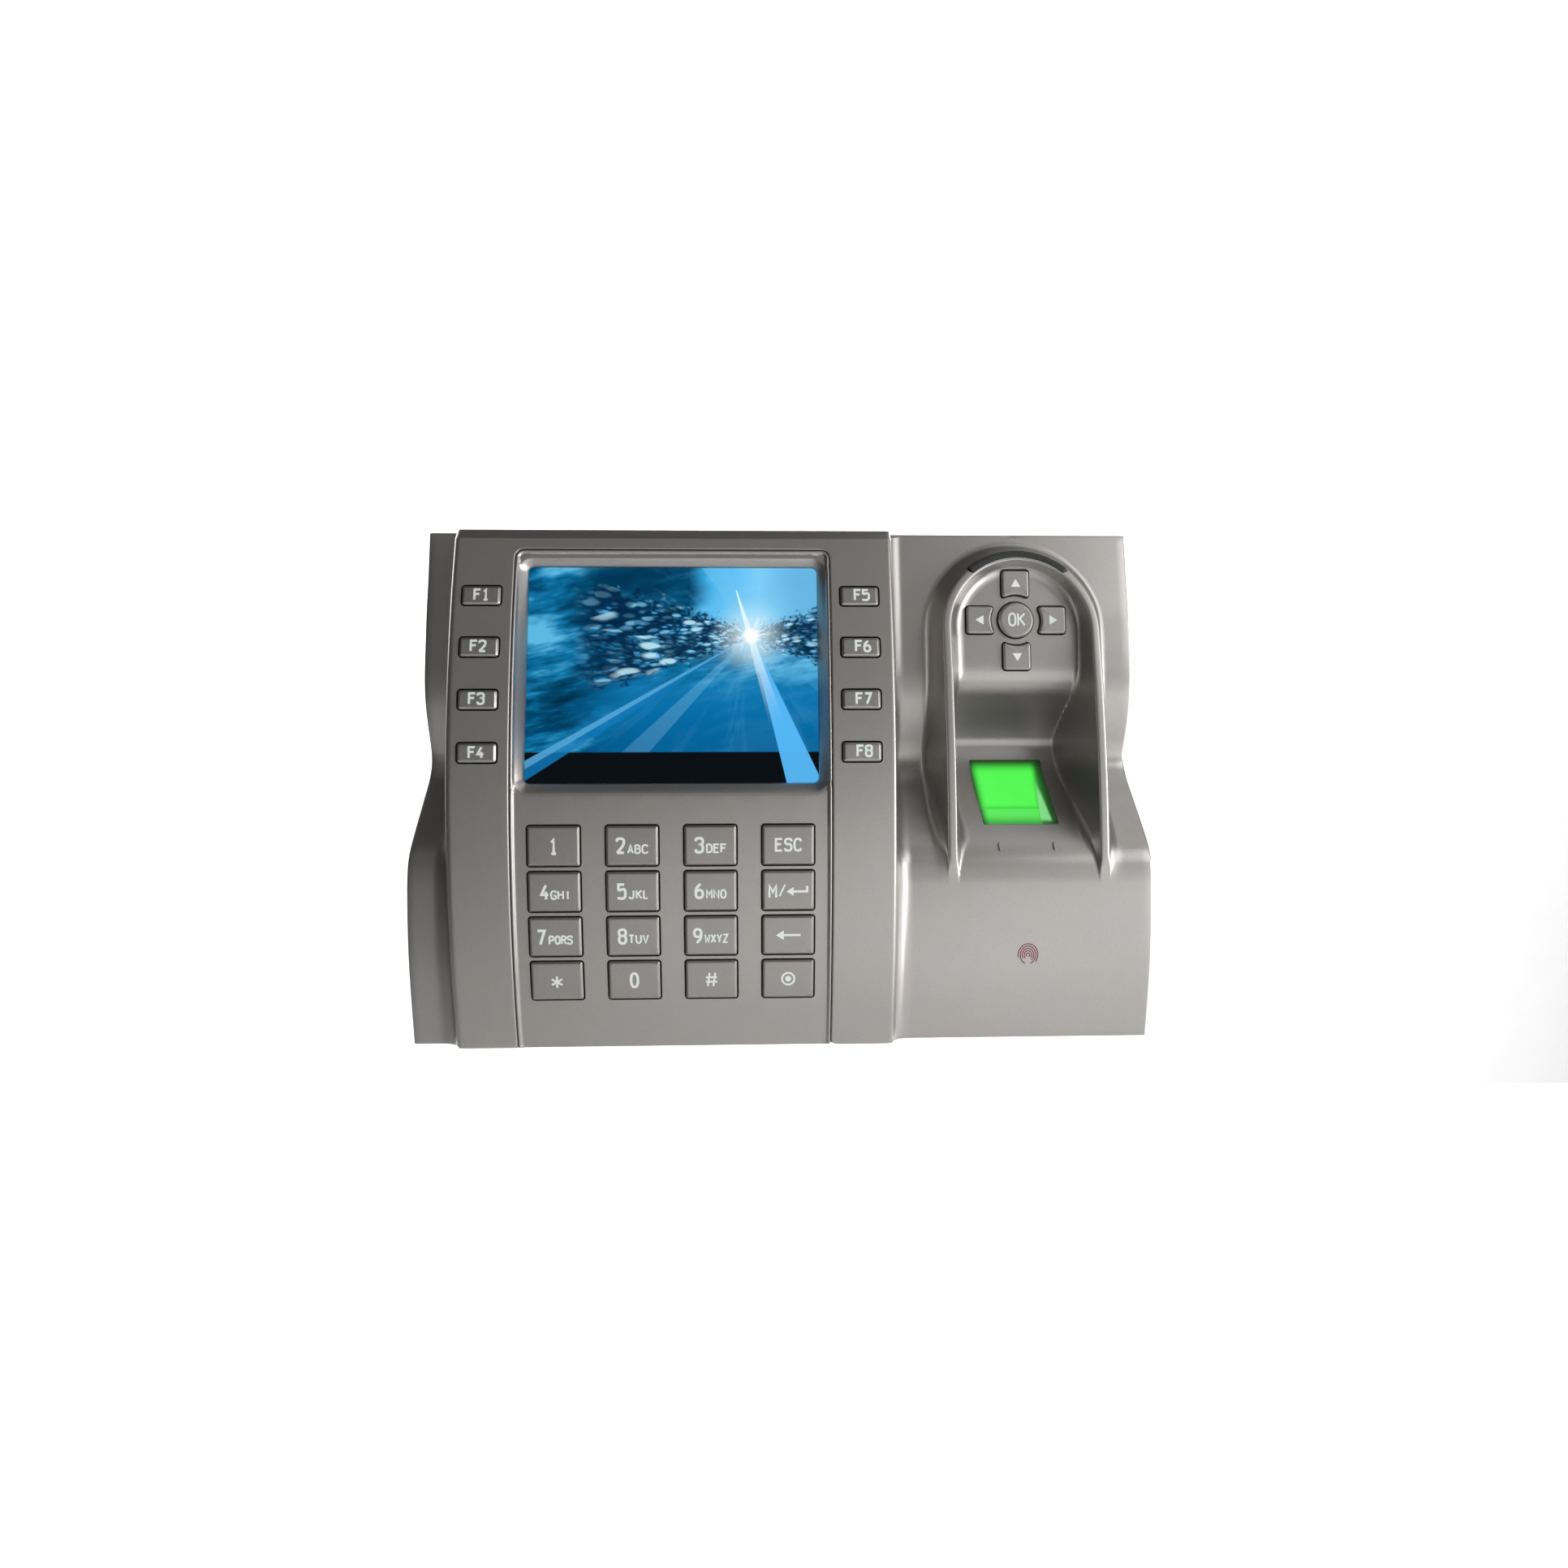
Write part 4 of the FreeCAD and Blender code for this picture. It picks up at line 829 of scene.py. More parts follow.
DIGIT_SIZE, DIGIT_STROKE, DIGIT_SQUEEZE = 3.75, 0.7, 0.72
LETTER_SIZE, LETTER_STROKE, LETTER_GAP = 2.1, 0.47, 0.5
WORD_SIZE = 3.1
DIGIT_LETTERS = dict(zip("23456789", ("ABC", "DEF", "GHI", "JKL", "MNO", "PQRS", "TUV", "WXYZ")))
# Keys with one piece of text: what it says, its height, stroke and squeeze.
WORD_KEYS = {"0": ("0", DIGIT_SIZE, DIGIT_STROKE, DIGIT_SQUEEZE),
             "1": ("1", DIGIT_SIZE, DIGIT_STROKE, DIGIT_SQUEEZE),
             "hash": ("#", DIGIT_SIZE, 0.52, 1.2), "esc": ("ESC", WORD_SIZE, 0.6, 0.78)}


def digit_legend(key, x, z):
    """The shapes printed on a keypad key centred at (x, z)."""
    if key == "star":
        return asterisk(x, z - 0.3, 1.6, 0.55)
    if key == "back":
        return arrow_left(x, z, 6.6, 0.6, 2.1)
    if key == "power":
        return [ring_shape(x, z, 1.9, 1.4), disc_shape(x, z, 0.8)]
    if key == "menu":
        return [placed(lettering("M", WORD_SIZE, 0.66, 0.85), x - 4.1, z),
                placed(lettering("/", WORD_SIZE, 0.45, 0.7), x - 1.6, z),
                *arrow_left(x + 2.4, z - 0.3, 5.8, 0.6, 1.9),
                bar(x + 5.0, z - 0.6, x + 5.0, z + 1.2, 0.6)]
    if key in WORD_KEYS:
        return [placed(lettering(*WORD_KEYS[key]), x, z)]
    digit = lettering(key, DIGIT_SIZE, DIGIT_STROKE, DIGIT_SQUEEZE)
    small = DIGIT_LETTERS[key]
    letters = lettering(small, LETTER_SIZE, LETTER_STROKE, *((0.9, 2.6) if len(small) < 4 else (0.78, 2.2)))
    digit_width, letters_width = np.ptp(digit[0][:, 0]), np.ptp(letters[0][:, 0])
    left = x - (digit_width + LETTER_GAP + letters_width) / 2
    letters_x = left + digit_width + LETTER_GAP + letters_width / 2
    return [placed(digit, left + digit_width / 2, z),
            placed(letters, letters_x, z - (DIGIT_SIZE - LETTER_SIZE) / 2)]


def nav_arrow(name):
    """A small printed triangle that points away from OK."""
    across, up, turn = NAV_KEYS[name]
    size, reach, a = 1.08, NAV_PITCH * 1.02, math.radians(turn)
    cx, cz = HOOD_X + across * reach, NAV_Z + up * reach
    return polygon([(cx + size * (px * math.cos(a) - pz * math.sin(a)),
                     cz + size * (px * math.sin(a) + pz * math.cos(a)))
                    for px, pz in ((1.1, 0), (-1.0, 1.25), (-1.0, -1.25))])


def build_legends():
    ink = printed_ink("pale_print_painted_glow", (0.62, 0.66, 0.64), (0.70, 0.74, 0.72), 0.45)
    # The print's faint glow is painted light: it brightens the legends, which give no light.
    ink.shade(Emission_Color=(0.70, 0.76, 0.74, 1), Emission_Strength=0.16)
    for key, node in zip(DIGIT_KEYS, DIGIT_NODES):
        x, z = key_middle(node)
        print_on("legend_" + key, digit_legend(key, x, z + 0.1), digit_face, node + "_body",
                 ink.material)
    for number, node in enumerate(FUNCTION_NODES, 1):
        x, z = key_middle(node)
        text = lettering(f"F{number}", 2.75, 0.6, 0.85, 2.2)
        shift = 0.6 if number > 4 else -0.1
        print_on("legend_" + node[4:], [placed(text, x + shift, z + 0.3)], function_key_face,
                 node + "_body", ink.material)
    for name in NAV_KEYS:
        print_on("legend_nav_" + name, [nav_arrow(name)], nav_key_face, f"nav_{name}_body",
                 ink.material)
    ok = placed(lettering("OK", 3.4, 0.5, 0.82, 2.0), HOOD_X, NAV_Z + 0.1)
    print_on("legend_nav_ok", [ok], ok_face, "nav_ok_body", ink.material)


# ---------------------------------------------------------------- node materials

def shader_maths(operation, swapped=False):
    """A method of Number that adds a maths node."""
    def apply(self, *others):
        values = (self, *others)
        return self.look.math(operation, *(values[::-1] if swapped else values))
    return apply


class Number:
    """A number that a shader works out, for plain arithmetic with other numbers."""

    def __init__(self, look, socket):
        self.look, self.socket = look, socket

    __add__ = __radd__ = shader_maths("ADD")
    __sub__ = shader_maths("SUBTRACT")
    __rsub__ = shader_maths("SUBTRACT", swapped=True)
    __mul__ = shader_maths("MULTIPLY")
    __truediv__ = shader_maths("DIVIDE")
    __abs__ = shader_maths("ABSOLUTE")
    __gt__ = shader_maths("GREATER_THAN")
    __lt__ = shader_maths("LESS_THAN")
    at_least = shader_maths("MAXIMUM")
    at_most = shader_maths("MINIMUM")

    def rise(self, low, high):
        """Goes smoothly from 0 at one value to 1 at the other, either way round."""
        ends = {"Value": self, "From Min": low, "From Max": high}
        return self.look.output("ShaderNodeMapRange", "Result", ends, interpolation_type="SMOOTHSTEP")

    def spread(self, low, high):
        """A 0..1 value mapped to low..high."""
        ends = {"Value": self, "To Min": low, "To Max": high}
        return self.look.output("ShaderNodeMapRange", "Result", ends)


class Look:
    """A node material round one Principled shader."""

    def __init__(self, name):
        self.material = bpy.data.materials.new(name)
        self.material.use_nodes = True
        self.tree = self.material.node_tree
        self.shader = self.tree.nodes["Principled BSDF"]
        self.place = self.tree.nodes.new("ShaderNodeTexCoord").outputs["Object"]

    def node(self, kind, inputs, **settings):
        made = self.tree.nodes.new(kind)
        for key, value in settings.items():
            setattr(made, key, value)
        for key, value in inputs.items():
            self.set(made.inputs[key], value)
        return made

    def output(self, kind, name, inputs, **settings):
        """One output of a new node, as a number."""
        return Number(self, self.node(kind, inputs, **settings).outputs[name])

    def set(self, socket, value):
        value = value.socket if isinstance(value, Number) else value
        if isinstance(value, bpy.types.NodeSocket):
            self.tree.links.new(value, socket)
        else:
            socket.default_value = value

    def shade(self, **inputs):
        for key, value in inputs.items():
            self.set(self.shader.inputs[key.replace("_", " ")], value)

    def noise(self, size, detail=3.0, rough=0.55, place=None):
        """Noise whose features are about a size in millimetres."""
        return self.output("ShaderNodeTexNoise", "Fac", {"Vector": place or self.place, "Detail": detail,
                                                         "Scale": 1.0 / (size * MM), "Roughness": rough})

    def stretched(self, scale):
        """The object's coordinates, stretched."""
        return self.node("ShaderNodeMapping", {"Vector": self.place, "Scale": scale}).outputs["Vector"]

    def ramp(self, value, *stops):
        """Colours along a value; each stop is a position and a colour."""
        made = self.node("ShaderNodeValToRGB", {"Fac": value})
        elements = made.color_ramp.elements
        while len(elements) < len(stops):
            elements.new(0.5)
        for element, (position, colour) in zip(elements, stops):
            element.position = position
            element.color = (*colour, 1.0)
        return made.outputs["Color"]

    def mottle(self, value, dark, light):
        return self.ramp(value, (0.3, dark), (0.7, light))

    def math(self, operation, *values):
        made = self.node("ShaderNodeMath", dict(enumerate(values)), operation=operation)
        return Number(self, made.outputs["Value"])

    def mix(self, share, a, b, blend="MIX"):
        made = self.node("ShaderNodeMix", {}, data_type="RGBA", blend_type=blend)
        self.set(made.inputs["Factor"], share)
        for name, colour in (("A", a), ("B", b)):
            self.set(made.inputs[name], (*colour, 1.0) if isinstance(colour, tuple) else colour)
        return made.outputs["Result"]

    def bump(self, height, depth, strength):
        """Relief of a depth in millimetres."""
        made = self.node("ShaderNodeBump", {"Height": height, "Distance": depth * MM, "Strength": strength})
        self.set(self.shader.inputs["Normal"], made.outputs["Normal"])


def silver_paint(name, tone=1.0):
    """Fine metallic paint on moulded plastic: flake, faint orange peel, faint mottling. A tone below 1
    darkens a copy of it as painted shade.
    """
    look = Look(name)
    flake = look.noise(0.16, 2.0, 0.7)
    cloud = look.noise(14.0, 2.0)
    # A tone below 1 is painted shade on this copy of the paint.
    base = [c * tone for c in (0.400, 0.385, 0.370)]
    fine = look.mottle(flake, [c * 0.88 for c in base], [c * 1.12 for c in base])
    tint = look.ramp(cloud, (0.35, (0.97, 0.985, 1.0)), (0.65, (1.0, 0.985, 0.965)))
    look.shade(Base_Color=look.mix(1.0, fine, tint, "MULTIPLY"), Metallic=0.86,
               Roughness=flake.spread(0.30, 0.40))
    look.bump(flake * 0.5 + look.noise(0.5, 2.0), 0.02, 0.35)
    return look.material


def plain_plastic(name, colour, rough=0.5, texture=0.35, depth=0.03):
    """Moulded plastic with a spark-eroded texture."""
    look = Look(name)
    grain = look.noise(texture, 4.0, 0.6)
    base = look.mottle(look.noise(9.0, 2.0), [c * 0.88 for c in colour], [c * 1.12 for c in colour])
    look.shade(Base_Color=base, Roughness=grain.spread(rough - 0.07, rough + 0.1))
    look.bump(grain, depth, 0.6)
    return look.material


def metal(name, colour, rough, across=0.06):
    """Plated metal, brushed along x unless across is 1."""
    look = Look(name)
    lines = look.noise(0.25, 4.0, 0.6, look.stretched((across, 1.0, 1.0)))
    look.shade(Base_Color=look.mottle(look.noise(6.0), [c * 0.85 for c in colour], colour),
               Metallic=1.0, Roughness=lines.spread(rough - 0.08, rough + 0.12))
    look.bump(lines, 0.01, 0.4)
    return look.material


def circuit_board(name):
    """Solder mask over copper tracks."""
    look = Look(name)
    tracks = look.node("ShaderNodeTexBrick", {
        "Vector": look.stretched((1.0, 0.0, 1.0)), "Scale": 160.0, "Mortar Size": 0.06,
        "Color1": (0.02, 0.16, 0.07, 1), "Color2": (0.015, 0.13, 0.06, 1), "Mortar": (0.05, 0.3, 0.12, 1)})
    look.shade(Base_Color=tracks.outputs["Color"], Roughness=look.noise(1.5).spread(0.3, 0.45))
    look.bump(tracks.outputs["Fac"], 0.03, 0.4)
    return look.material


def printed_ink(name, dark, light, rough):
    look = Look(name)
    speck = look.noise(0.2, 2.0)
    look.shade(Base_Color=look.mottle(speck, dark, light), Roughness=rough)
    look.bump(speck, 0.01, 0.3)
    return look


def lens_look():
    """The clear window over the display."""
    look = Look("display_glass")
    look.shade(Base_Color=(1.0, 1.0, 1.0, 1.0), Roughness=look.noise(12.0).spread(0.02, 0.06),
               Transmission_Weight=1.0, IOR=1.03)
    return look.material


class Picture(Look):
    """A lit picture, painted layer on layer with shader maths."""

    def __init__(self, name):
        super().__init__(name)
        across = self.node("ShaderNodeSeparateXYZ", {"Vector": self.place}).outputs
        self.x, self.z = Number(self, across["X"]), Number(self, across["Z"])
        self.colour = None

    def paint(self, share, colour):
        """Lays a colour over the picture; a share of 1 hides what is below."""
        self.colour = self.mix(share, self.colour, colour)

    def pattern(self, x, y, scale, detail=4.0):
        place = self.node("ShaderNodeCombineXYZ", {"X": x, "Y": y, "Z": 0.35}).outputs["Vector"]
        return self.output("ShaderNodeTexNoise", "Fac", {"Vector": place, "Scale": scale, "Detail": detail,
                                                         "Roughness": 0.6})

    def distance(self, across, up):
        return self.math("SQRT", across * across + up * up)

    def paint_beam(self, across, up, radius, beam):
        """Paints a wedge of light from where across and up are 0, which fades as a radius grows."""
        run, rise, spread, opacity, colour = beam
        along = across * run + up * rise
        aside = abs(across * rise - up * run)
        inside = (aside - along.at_least(0.0) * spread).rise(0.006, 0.0)
        self.paint(inside * (along > 0.0) * opacity * radius.rise(2.6, 0.2), colour)

    def glow(self, base, rough):
        self.shade(Base_Color=base, Emission_Color=self.colour, Emission_Strength=1.0, Roughness=rough)


# The display's picture has u and v from -1 to 1, across it and up it.
BURST_U, BURST_V = 0.54, 0.36
PICTURE_ASPECT = DISPLAY_HEIGHT / DISPLAY_WIDTH
BAR_TOP = -0.72
# Beams: direction across and up, half spread, opacity, colour. The spike starts at its own tip.
BEAMS = [(-0.70, -0.71, 0.056, 0.30, (0.14, 0.50, 0.80)), (-0.45, 0.89, 0.150, 0.45, (0.16, 0.56, 0.88)),
         (0.80, -0.60, 0.050, 0.16, (0.12, 0.48, 0.80))]
LONG_BEAMS = [(-0.858, -0.514, 0.030, 0.80, (0.006, 0.190, 0.480)),
              (-0.868, -0.497, 0.012, 0.60, (0.130, 0.470, 0.780)),
              (0.335, -0.942, 0.105, 0.90, (0.100, 0.500, 0.960))]
SPIKE_TIP_U, SPIKE_TIP_V = 0.437, 0.79
SPIKE = (0.288, -0.958, 0.050, 0.95, (0.78, 0.95, 1.0))
# Layers of petals: cells per unit, share of cells left dark, colour of the lit ones.
PETALS = [(6.0, 0.35, (0.090, 0.420, 0.740)), (3.4, 0.42, (0.220, 0.620, 0.900)),
          (1.9, 0.60, (0.520, 0.840, 0.980))]


def screen_material():
    """The lit display: a burst of light on blue with beams and petals, and a dark bar below."""
    look = Picture("display_picture")
    u = (look.x - DISPLAY_X * MM) / (DISPLAY_WIDTH / 2 * MM)
    v = (look.z - DISPLAY_Z * MM) / (DISPLAY_HEIGHT / 2 * MM)
    across, up = u - BURST_U, (v - BURST_V) * PICTURE_ASPECT
    radius = look.distance(across, up)
    angle = look.math("ARCTAN2", up, across)
    far = look.math("LOGARITHM", radius.at_least(0.01), math.e)
    paint_sky(look, u, v)
    streaks = look.pattern(angle * 7.0, far * 0.9, 1.5, 3.0)
    look.paint(streaks.rise(0.50, 0.68) * radius.rise(1.9, 0.1) * 0.12, (0.10, 0.48, 0.82))
    look.paint(radius.rise(0.50, 0.0) * up.rise(-0.35, 0.0) * 0.70, (0.240, 0.680, 0.980))
    slant = abs(up) / radius.at_least(0.01)
    turned = look.node("ShaderNodeCombineXYZ", {"X": angle * 5.2, "Y": far * 2.4 + slant * 2.6, "Z": 0.0})
    ragged = look.pattern(angle * 3.0, far * 3.0, 3.0)
    paint_petals(look, petal_band(u, v, abs(across), ragged), turned.outputs["Vector"])
    for beam in BEAMS:
        look.paint_beam(across, up, radius, beam)
    look.paint(v < BAR_TOP, (0.0035, 0.0052, 0.0075))
    for beam in LONG_BEAMS:
        look.paint_beam(across, up, radius * 0.4, beam)
    look.paint(radius.rise(0.30, 0.02) * 0.60, (0.720, 0.930, 1.0))
    tip_across, tip_up = u - SPIKE_TIP_U, (v - SPIKE_TIP_V) * PICTURE_ASPECT
    look.paint_beam(tip_across, tip_up, look.distance(tip_across, tip_up) * 2.6, SPIKE)
    shards = look.pattern(angle * 2.4, far * 0.5, 2.2, 2.0)
    look.paint(shards.rise(0.48, 0.60) * radius.rise(0.20, 0.03) * 0.80, (0.86, 0.97, 1.0))
    look.paint(radius.rise(0.075, 0.03), (1.0, 1.0, 1.0))
    dots = {"Vector": look.place, "Scale": 2200.0, "Mortar Size": 0.01}
    look.glow((0.0, 0.0, 0.0, 1.0), look.output("ShaderNodeTexBrick", "Fac", dots).spread(0.28, 0.34))
    look.shade(Specular_IOR_Level=0.0)
    return look.material


def paint_sky(look, u, v):
    """Soft blues behind the burst: haze, a dark patch above, deeper blue below, light at the right."""
    haze = look.pattern(u * 0.8 + v * 0.5, v * 2.6 - u * 0.9, 1.5, 5.0)
    look.colour = look.ramp(haze, (0.36, (0.000, 0.022, 0.055)), (0.46, (0.001, 0.070, 0.170)),
                            (0.54, (0.006, 0.190, 0.400)), (0.64, (0.110, 0.480, 0.760)))
    look.paint(v.rise(0.45, 0.85) * u.rise(-0.75, -0.50) * u.rise(0.20, 0.10) * 0.80, (0.001, 0.040, 0.100))
    under = v.rise(0.12, -0.20) * u.rise(-0.80, -0.20)
    look.paint(under * 0.92, look.ramp(v.rise(-0.75, 0.05), (0.0, (0.001, 0.085, 0.250)),
                                       (0.6, (0.003, 0.150, 0.380)), (1.0, (0.008, 0.220, 0.500))))
    look.paint(v.rise(-0.22, -0.26) * under * 0.35, (0.002, 0.190, 0.450))
    upper = v.rise(0.10, 0.60) * u.rise(0.10, 0.30)
    look.paint(upper * 0.92, look.ramp(u.rise(0.2, 0.9), (0.0, (0.070, 0.480, 0.900)),
                                       (0.6, (0.220, 0.640, 0.980)), (1.0, (0.150, 0.500, 0.820))))


def petal_band(u, v, aside, ragged):
    """A ragged band that widens away from the burst on both sides."""
    spread = abs(v - (BURST_V + (ragged - 0.5) * 0.45))
    reach = aside.at_most(0.95) * 0.42 + 0.06
    return (spread - reach).rise(0.02, -0.05) * aside.rise(0.03, 0.10) * u.rise(-0.72, -0.50)


def paint_petals(look, band, place):
    """Dark rims and lit petals in a band, from random cells of three sizes."""
    look.paint(band * 0.70, (0.004, 0.080, 0.210))
    for scale, dark_share, colour in PETALS:
        cells = look.node("ShaderNodeTexVoronoi", {"Vector": place, "Scale": scale}).outputs
        tone = look.output("ShaderNodeSeparateColor", "Red", {"Color": cells["Color"]})
        away = Number(look, cells["Distance"])
        petal = away.rise(0.52, 0.30) * (tone > dark_share)
        rim = away.rise(0.40, 0.60) * (tone < 0.75)
        look.paint(rim * band * 0.75, (0.001, 0.020, 0.060))
        look.paint(petal * band * tone.rise(0.2, 1.0) * 0.85, colour)


def window_look():
    """Green glass with painted light: a glow with darker margins, a bright core, a bright strip and a
    lighter wedge; s runs left to right and t from top to bottom of the window.
    """
    look = Picture("green_prism_painted_glow")
    half_z = WINDOW_LENGTH / 2 * math.sin(RAMP_ANGLE)
    s = (look.x - (HOOD_X - WINDOW_WIDTH / 2) * MM) / (WINDOW_WIDTH * MM)
    t = ((RAMP_Z + half_z) * MM - look.z) / (2 * half_z * MM)
    beyond = s - (0.90 - t * 0.12)
    sides = s.rise(-0.04, 0.13) * beyond.rise(0.06, -0.05)
    core = sides * t.rise(0.02, 0.22) * t.rise(0.80, 0.74)
    strip = s.rise(-0.02, 0.12) * beyond.rise(0.04, -0.02) * t.rise(0.76, 0.79) * t.rise(1.08, 0.84)
    wedge = (beyond.rise(-0.01, 0.02) * t.rise(0.28, 0.62) * t.rise(0.99, 0.92)
             * (beyond - (t - 0.27) * 0.22).rise(0.02, -0.02))
    spill = s.rise(-0.02, 0.10) * s.rise(1.0, 0.84) * t.rise(0.0, 0.14) * t.rise(1.02, 0.90)
    cloud = look.noise(5.0, 2.0)
    # Painted light: darker green margins, a bright core, a darker line below it, a bright strip and a pale
    # wedge at the right.
    look.colour = look.mix(spill * 0.9, (0.004, 0.030, 0.004), (0.012, 0.260, 0.014))
    look.paint(core, look.mix(cloud.spread(0.0, 0.5), (0.065, 0.88, 0.065), (0.090, 0.96, 0.090)))
    look.paint(t.rise(0.70, 0.765) * t.rise(0.79, 0.765) * sides * 0.5, (0.01, 0.62, 0.015))
    look.paint(strip * 0.95, (0.090, 0.80, 0.095))
    look.paint(wedge * 0.7, (0.30, 0.84, 0.32))
    look.glow((0.02, 0.06, 0.02, 1.0), cloud.spread(0.10, 0.18))
    return look.material


def smoked_look():
    """Dark translucent plastic with a fine texture."""
    look = Look("smoked_light_guide")
    cells = look.output("ShaderNodeTexVoronoi", "Distance", {"Vector": look.place, "Scale": 1500.0})
    look.shade(Base_Color=look.ramp(cells, (0.0, (0.006, 0.008, 0.008)), (0.6, (0.022, 0.026, 0.026))),
               Roughness=cells.spread(0.25, 0.5))
    look.bump(cells, 0.06, 0.6)
    return look.material


# ---------------------------------------------------------------- display, lights and small pieces

def light_only(lamp, *pieces):
    """Keeps a lit piece's or a lamp's light to the given pieces."""
    receivers = bpy.data.collections.new(lamp.name + "_receivers")
    for piece in pieces:
        receivers.objects.link(piece)
    lamp.light_linking.receiver_collection = receivers


PANEL_FRONT, PANEL_BACK = -1.0, -3.2


def build_display():
    """The lit panel under the CAD lens."""
    vertices = []
    for lift in (PANEL_FRONT, PANEL_BACK):
        for side_x, side_z in ((-1, -1), (1, -1), (1, 1), (-1, 1)):
            x = DISPLAY_X + side_x * (DISPLAY_WIDTH / 2 + 0.9)
            z = DISPLAY_Z + side_z * (DISPLAY_HEIGHT / 2 + 0.7)
            vertices.append(world(x, display_plane(z) + lift * math.cos(DISPLAY_TILT),
                                  z + lift * math.sin(DISPLAY_TILT)))
    faces = [(0, 1, 2, 3), (7, 6, 5, 4), (0, 4, 5, 1), (1, 5, 6, 2), (2, 6, 7, 3), (3, 7, 4, 0)]
    panel = make_object("display_lit_panel", vertices, faces, screen_material())
    stand_in("lcd_panel")
    light_only(panel, panel, frame["nodes"]["display_lens"])


def build_status_light():
    """The dark arc in the hood's ridge."""
    count = 96
    half = [(0.0, -3.0), (0.0, -0.28), (0.15, -0.13), (0.5, -0.08)]
    sections = [(LIGHT_OUTER - inset, lift) for inset, lift in half]
    sections += [(LIGHT_OUTER - LIGHT_WIDTH + inset, lift) for inset, lift in reversed(half)]
    vertices = []
    for k in range(count + 1):
        a = -LIGHT_HALF_ANGLE + 2 * LIGHT_HALF_ANGLE * k / count
        for radius, lift in sections:
            z = LIGHT_Z + radius * math.cos(a)
            vertices.append(world(HOOD_X + radius * math.sin(a), ridge_depth(z) + lift, z))
    n = len(sections)
    faces = ring_faces(count + 1, n) + [tuple(range(n)), tuple(count * n + i for i in reversed(range(n)))]
    light = make_object("status_light", vertices, faces, smoked_look(), sharp=40.0)
    stand_in("status_light_pipe")


def ramp_point(x, along, lift):
    """A point on the finger ramp: along is up the ramp towards the wall, lift is out of it."""
    depth = RAMP_DEPTH - along * math.cos(RAMP_ANGLE) + lift * math.sin(RAMP_ANGLE)
    return world(x, depth, RAMP_Z + along * math.sin(RAMP_ANGLE) + lift * math.cos(RAMP_ANGLE))


def build_window():
    """The prism: a bevelled glass block whose green light from inside is painted on it as a glow."""
    rings = [(0.0, -2.2), (0.0, -0.05), (0.1, 0.03), (0.9, -0.35), (1.0, -0.42), (1.2, -0.45)]
    loop = centred_loop(0.0, 0.0, WINDOW_WIDTH, WINDOW_LENGTH, 0.4, 2.0, 4)
    vertices = [ramp_point(HOOD_X + x, along, lift)
                for inset, lift in rings for x, along in offset_loop(loop, inset)]
    vertices += [ramp_point(HOOD_X, 0.0, lift) for lift in (rings[-1][1], rings[0][1])]
    window = make_object("finger_window", vertices, capped_faces(len(rings), len(loop)), window_look(),
                         sharp=20.0)
    stand_in("sensor_prism")
    light_only(window, window)


def guide_face(x, z):
    return hood_floor(z) + GUIDE_RISE


def build_guides(material):
    """Two small raised guides on the ramp, in front of the window."""
    for index, x in enumerate(GUIDE_XS):
        loop = rounded_loop(x - GUIDE_HALF, x + GUIDE_HALF, GUIDE_LOW, GUIDE_HIGH, 0.27, 0.4, 4)
        guide = key_cap(f"ramp_guide_{index}", loop, guide_face, ROOT_BODY, material, 0.1, 0.12, 1.2)


def build_mark():
    """A plain printed whorl on the lower right of the housing."""
    ink = printed_ink("red_print", (0.17, 0.016, 0.026), (0.23, 0.028, 0.040), 0.5)
    shapes = []
    for turn, radius in enumerate((0.55, 1.2, 1.85, 2.5, 3.15)):
        start, end = (-35 - 12 * turn, 215 + 12 * turn) if turn % 2 else (-62 + 6 * turn, 228 - 9 * turn)
        arc = [math.radians(start + (end - start) * k / 24) for k in range(25)]
        path = [(MARK_X + 0.86 * radius * math.cos(a), MARK_Z + radius * math.sin(a)) for a in arc]
        shapes.append(ribbon(path, 0.3))
    print_on("whorl_mark", shapes, lambda x, z: flank_depth(z), ROOT_BODY, ink.material)


def dress_nodes():
    """Procedural materials for the CAD nodes that stay in view."""
    looks = {
        "black_plastic": plain_plastic("black_moulding", (0.03, 0.03, 0.032)),
        "green_plastic": plain_plastic("green_moulding", (0.06, 0.32, 0.14)),
        "rear_plastic": plain_plastic("grey_moulding", (0.20, 0.20, 0.20), 0.6, 0.5, 0.05),
        "silicone": plain_plastic("grey_silicone", (0.35, 0.35, 0.36), 0.7),
        "circuit_board": circuit_board("board_mask"),
        "bare_steel": metal("tinned_steel", (0.70, 0.70, 0.70), 0.35),
        "plate_steel": metal("zinc_sheet", (0.58, 0.59, 0.60), 0.42),
        "screw_steel": metal("zinc_screw", (0.55, 0.55, 0.56), 0.3, across=1.0),
        "clear_lens": lens_look(),
    }
    for entry in frame["record"]["subparts"]:
        look = looks.get(entry["material_slot"])
        if look:
            materials = frame["nodes"][entry["node"]].data.materials
            materials.clear()
            materials.append(look)


# ---------------------------------------------------------------- stage

def area_light(name, place, target, size, power):
    data = bpy.data.lights.new(name, "AREA")
    data.shape = "RECTANGLE"
    data.size, data.size_y = size
    data.energy = power
    item = bpy.data.objects.new(name, data)
    item.location = place
    item.rotation_euler = (Vector(target) - Vector(place)).to_track_quat("-Z", "Y").to_euler()
    bpy.context.scene.collection.objects.link(item)
    return item


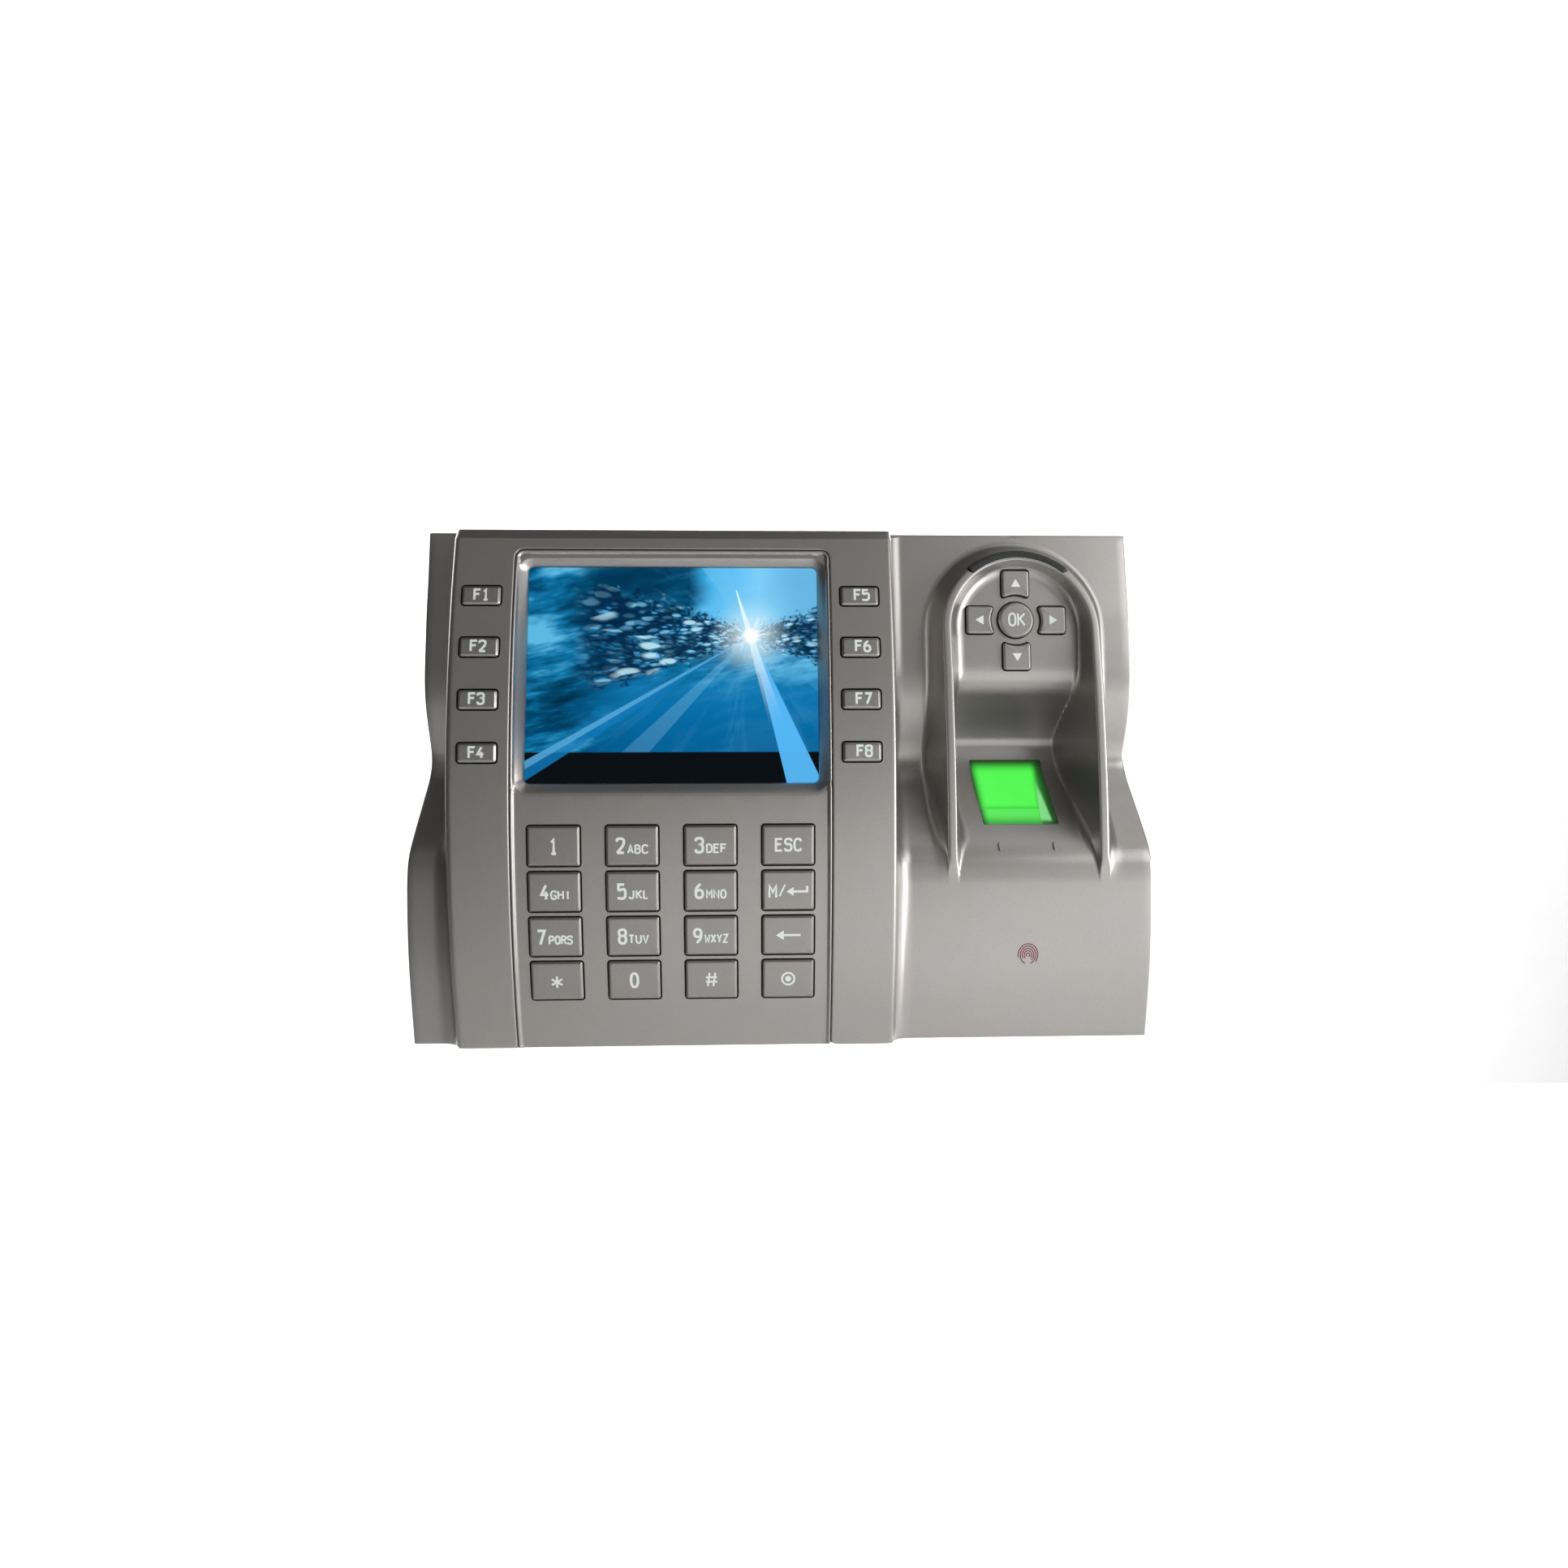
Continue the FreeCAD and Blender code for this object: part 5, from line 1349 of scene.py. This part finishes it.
# Soft boxes round the object: degrees to the right of its front, degrees up, side in metres, watts.
SOFT_BOX_DISTANCE = 0.9
SOFT_BOXES = [(0, -10, 0.90, 0.66), (4, -16, 0.50, 0.46), (33, -14, 0.60, 0.95), (22, 8, 0.40, 0.20),
              (0, 42, 0.90, 0.50), (45, 32, 0.34, 1.30), (50, -4, 0.26, 0.80), (62, 8, 0.34, 3.2),
              (62, -15, 0.34, 1.5), (70, 62, 0.50, 0.7), (94, -15, 0.34, 1.7), (130, 32, 0.34, 3.0),
              (-125, 25, 0.50, 2.5)]
WORLD_STRENGTH = 0.045


# The stage and the camera, in metres, watts and radians; sensor and lens are in millimetres.
BACKDROP_WATTS = 50.0
STAGE_SIZE, FLOOR_Z, BACKDROP_NEAR, BACKDROP_FAR = 6.0, -0.6, 0.3, 1.2
CAMERA_PLACE = (-0.0085939, -0.3055, 0.0251106)
CAMERA_YAW, CAMERA_PITCH, CAMERA_ROLL = 0.0323, 0.09, -0.001
SENSOR_WIDTH, LENS = 36.0, 22.69904


def stage_piece(name, material, rows):
    """A piece of the stage, from rows of points right across it, each at a y and a z."""
    points = [(side * STAGE_SIZE, y, z) for y, z in rows for side in (-1, 1)]
    faces = [(k, k + 1, k + 3, k + 2) for k in range(0, len(points) - 2, 2)]
    mesh = bpy.data.meshes.new(name)
    mesh.from_pydata(points, [], faces)
    mesh.materials.append(material)
    piece = bpy.data.objects.new(name, mesh)
    bpy.context.scene.collection.objects.link(piece)
    return piece


def build_stage():
    look = Look("pale_floor")
    tone = look.mottle(look.noise(60.0, 2.0), (0.86, 0.86, 0.86), (0.88, 0.88, 0.88))
    look.shade(Base_Color=tone, Roughness=0.8)
    stage_piece("floor", look.material, [(-STAGE_SIZE, FLOOR_Z), (BACKDROP_NEAR, FLOOR_Z)])
    backdrop = stage_piece("backdrop", look.material, [
        (BACKDROP_NEAR, FLOOR_Z), (BACKDROP_FAR, FLOOR_Z), (BACKDROP_FAR, STAGE_SIZE)])
    surround = bpy.data.worlds.new("studio")
    surround.use_nodes = True
    light = surround.node_tree.nodes["Background"].inputs
    light["Color"].default_value = (1.0, 1.0, 1.0, 1.0)
    light["Strength"].default_value = WORLD_STRENGTH
    bpy.context.scene.world = surround
    for index, (azimuth, elevation, side, watts) in enumerate(SOFT_BOXES):
        turn, lift = math.radians(azimuth), math.radians(elevation)
        place = Vector((math.cos(lift) * math.sin(turn), -math.cos(lift) * math.cos(turn), math.sin(lift)))
        area_light(f"soft_box_{index}", place * SOFT_BOX_DISTANCE, (0.0, 0.0, 0.0), (side, side), watts)
    lamp = area_light("backdrop_light", (0.0, BACKDROP_NEAR, 0.9), (0.0, BACKDROP_FAR, -0.1),
                      (2.6, 0.6), BACKDROP_WATTS)
    light_only(lamp, backdrop)


def build_camera():
    scene = bpy.context.scene
    data = bpy.data.cameras.new("camera")
    data.sensor_width, data.lens, data.clip_start = SENSOR_WIDTH, LENS, 0.01
    camera = bpy.data.objects.new("camera", data)
    scene.collection.objects.link(camera)
    yaw, pitch = CAMERA_YAW, CAMERA_PITCH
    aim = Vector((math.sin(yaw) * math.cos(pitch), math.cos(yaw) * math.cos(pitch), -math.sin(pitch)))
    turn = aim.to_track_quat("-Z", "Y").to_matrix().to_4x4() @ Matrix.Rotation(CAMERA_ROLL, 4, "Z")
    camera.matrix_world = Matrix.Translation(CAMERA_PLACE) @ turn
    scene.camera = camera
    scene.view_settings.view_transform = "Standard"


def main():
    housing_paint = silver_paint("silver_cover")
    build_cover(housing_paint)
    build_fascia(silver_paint("silver_fascia_paint"))
    build_keys()
    build_legends()
    build_display()
    build_status_light()
    build_window()
    build_guides(housing_paint)
    build_mark()
    dress_nodes()
    build_stage()
    build_camera()


main()
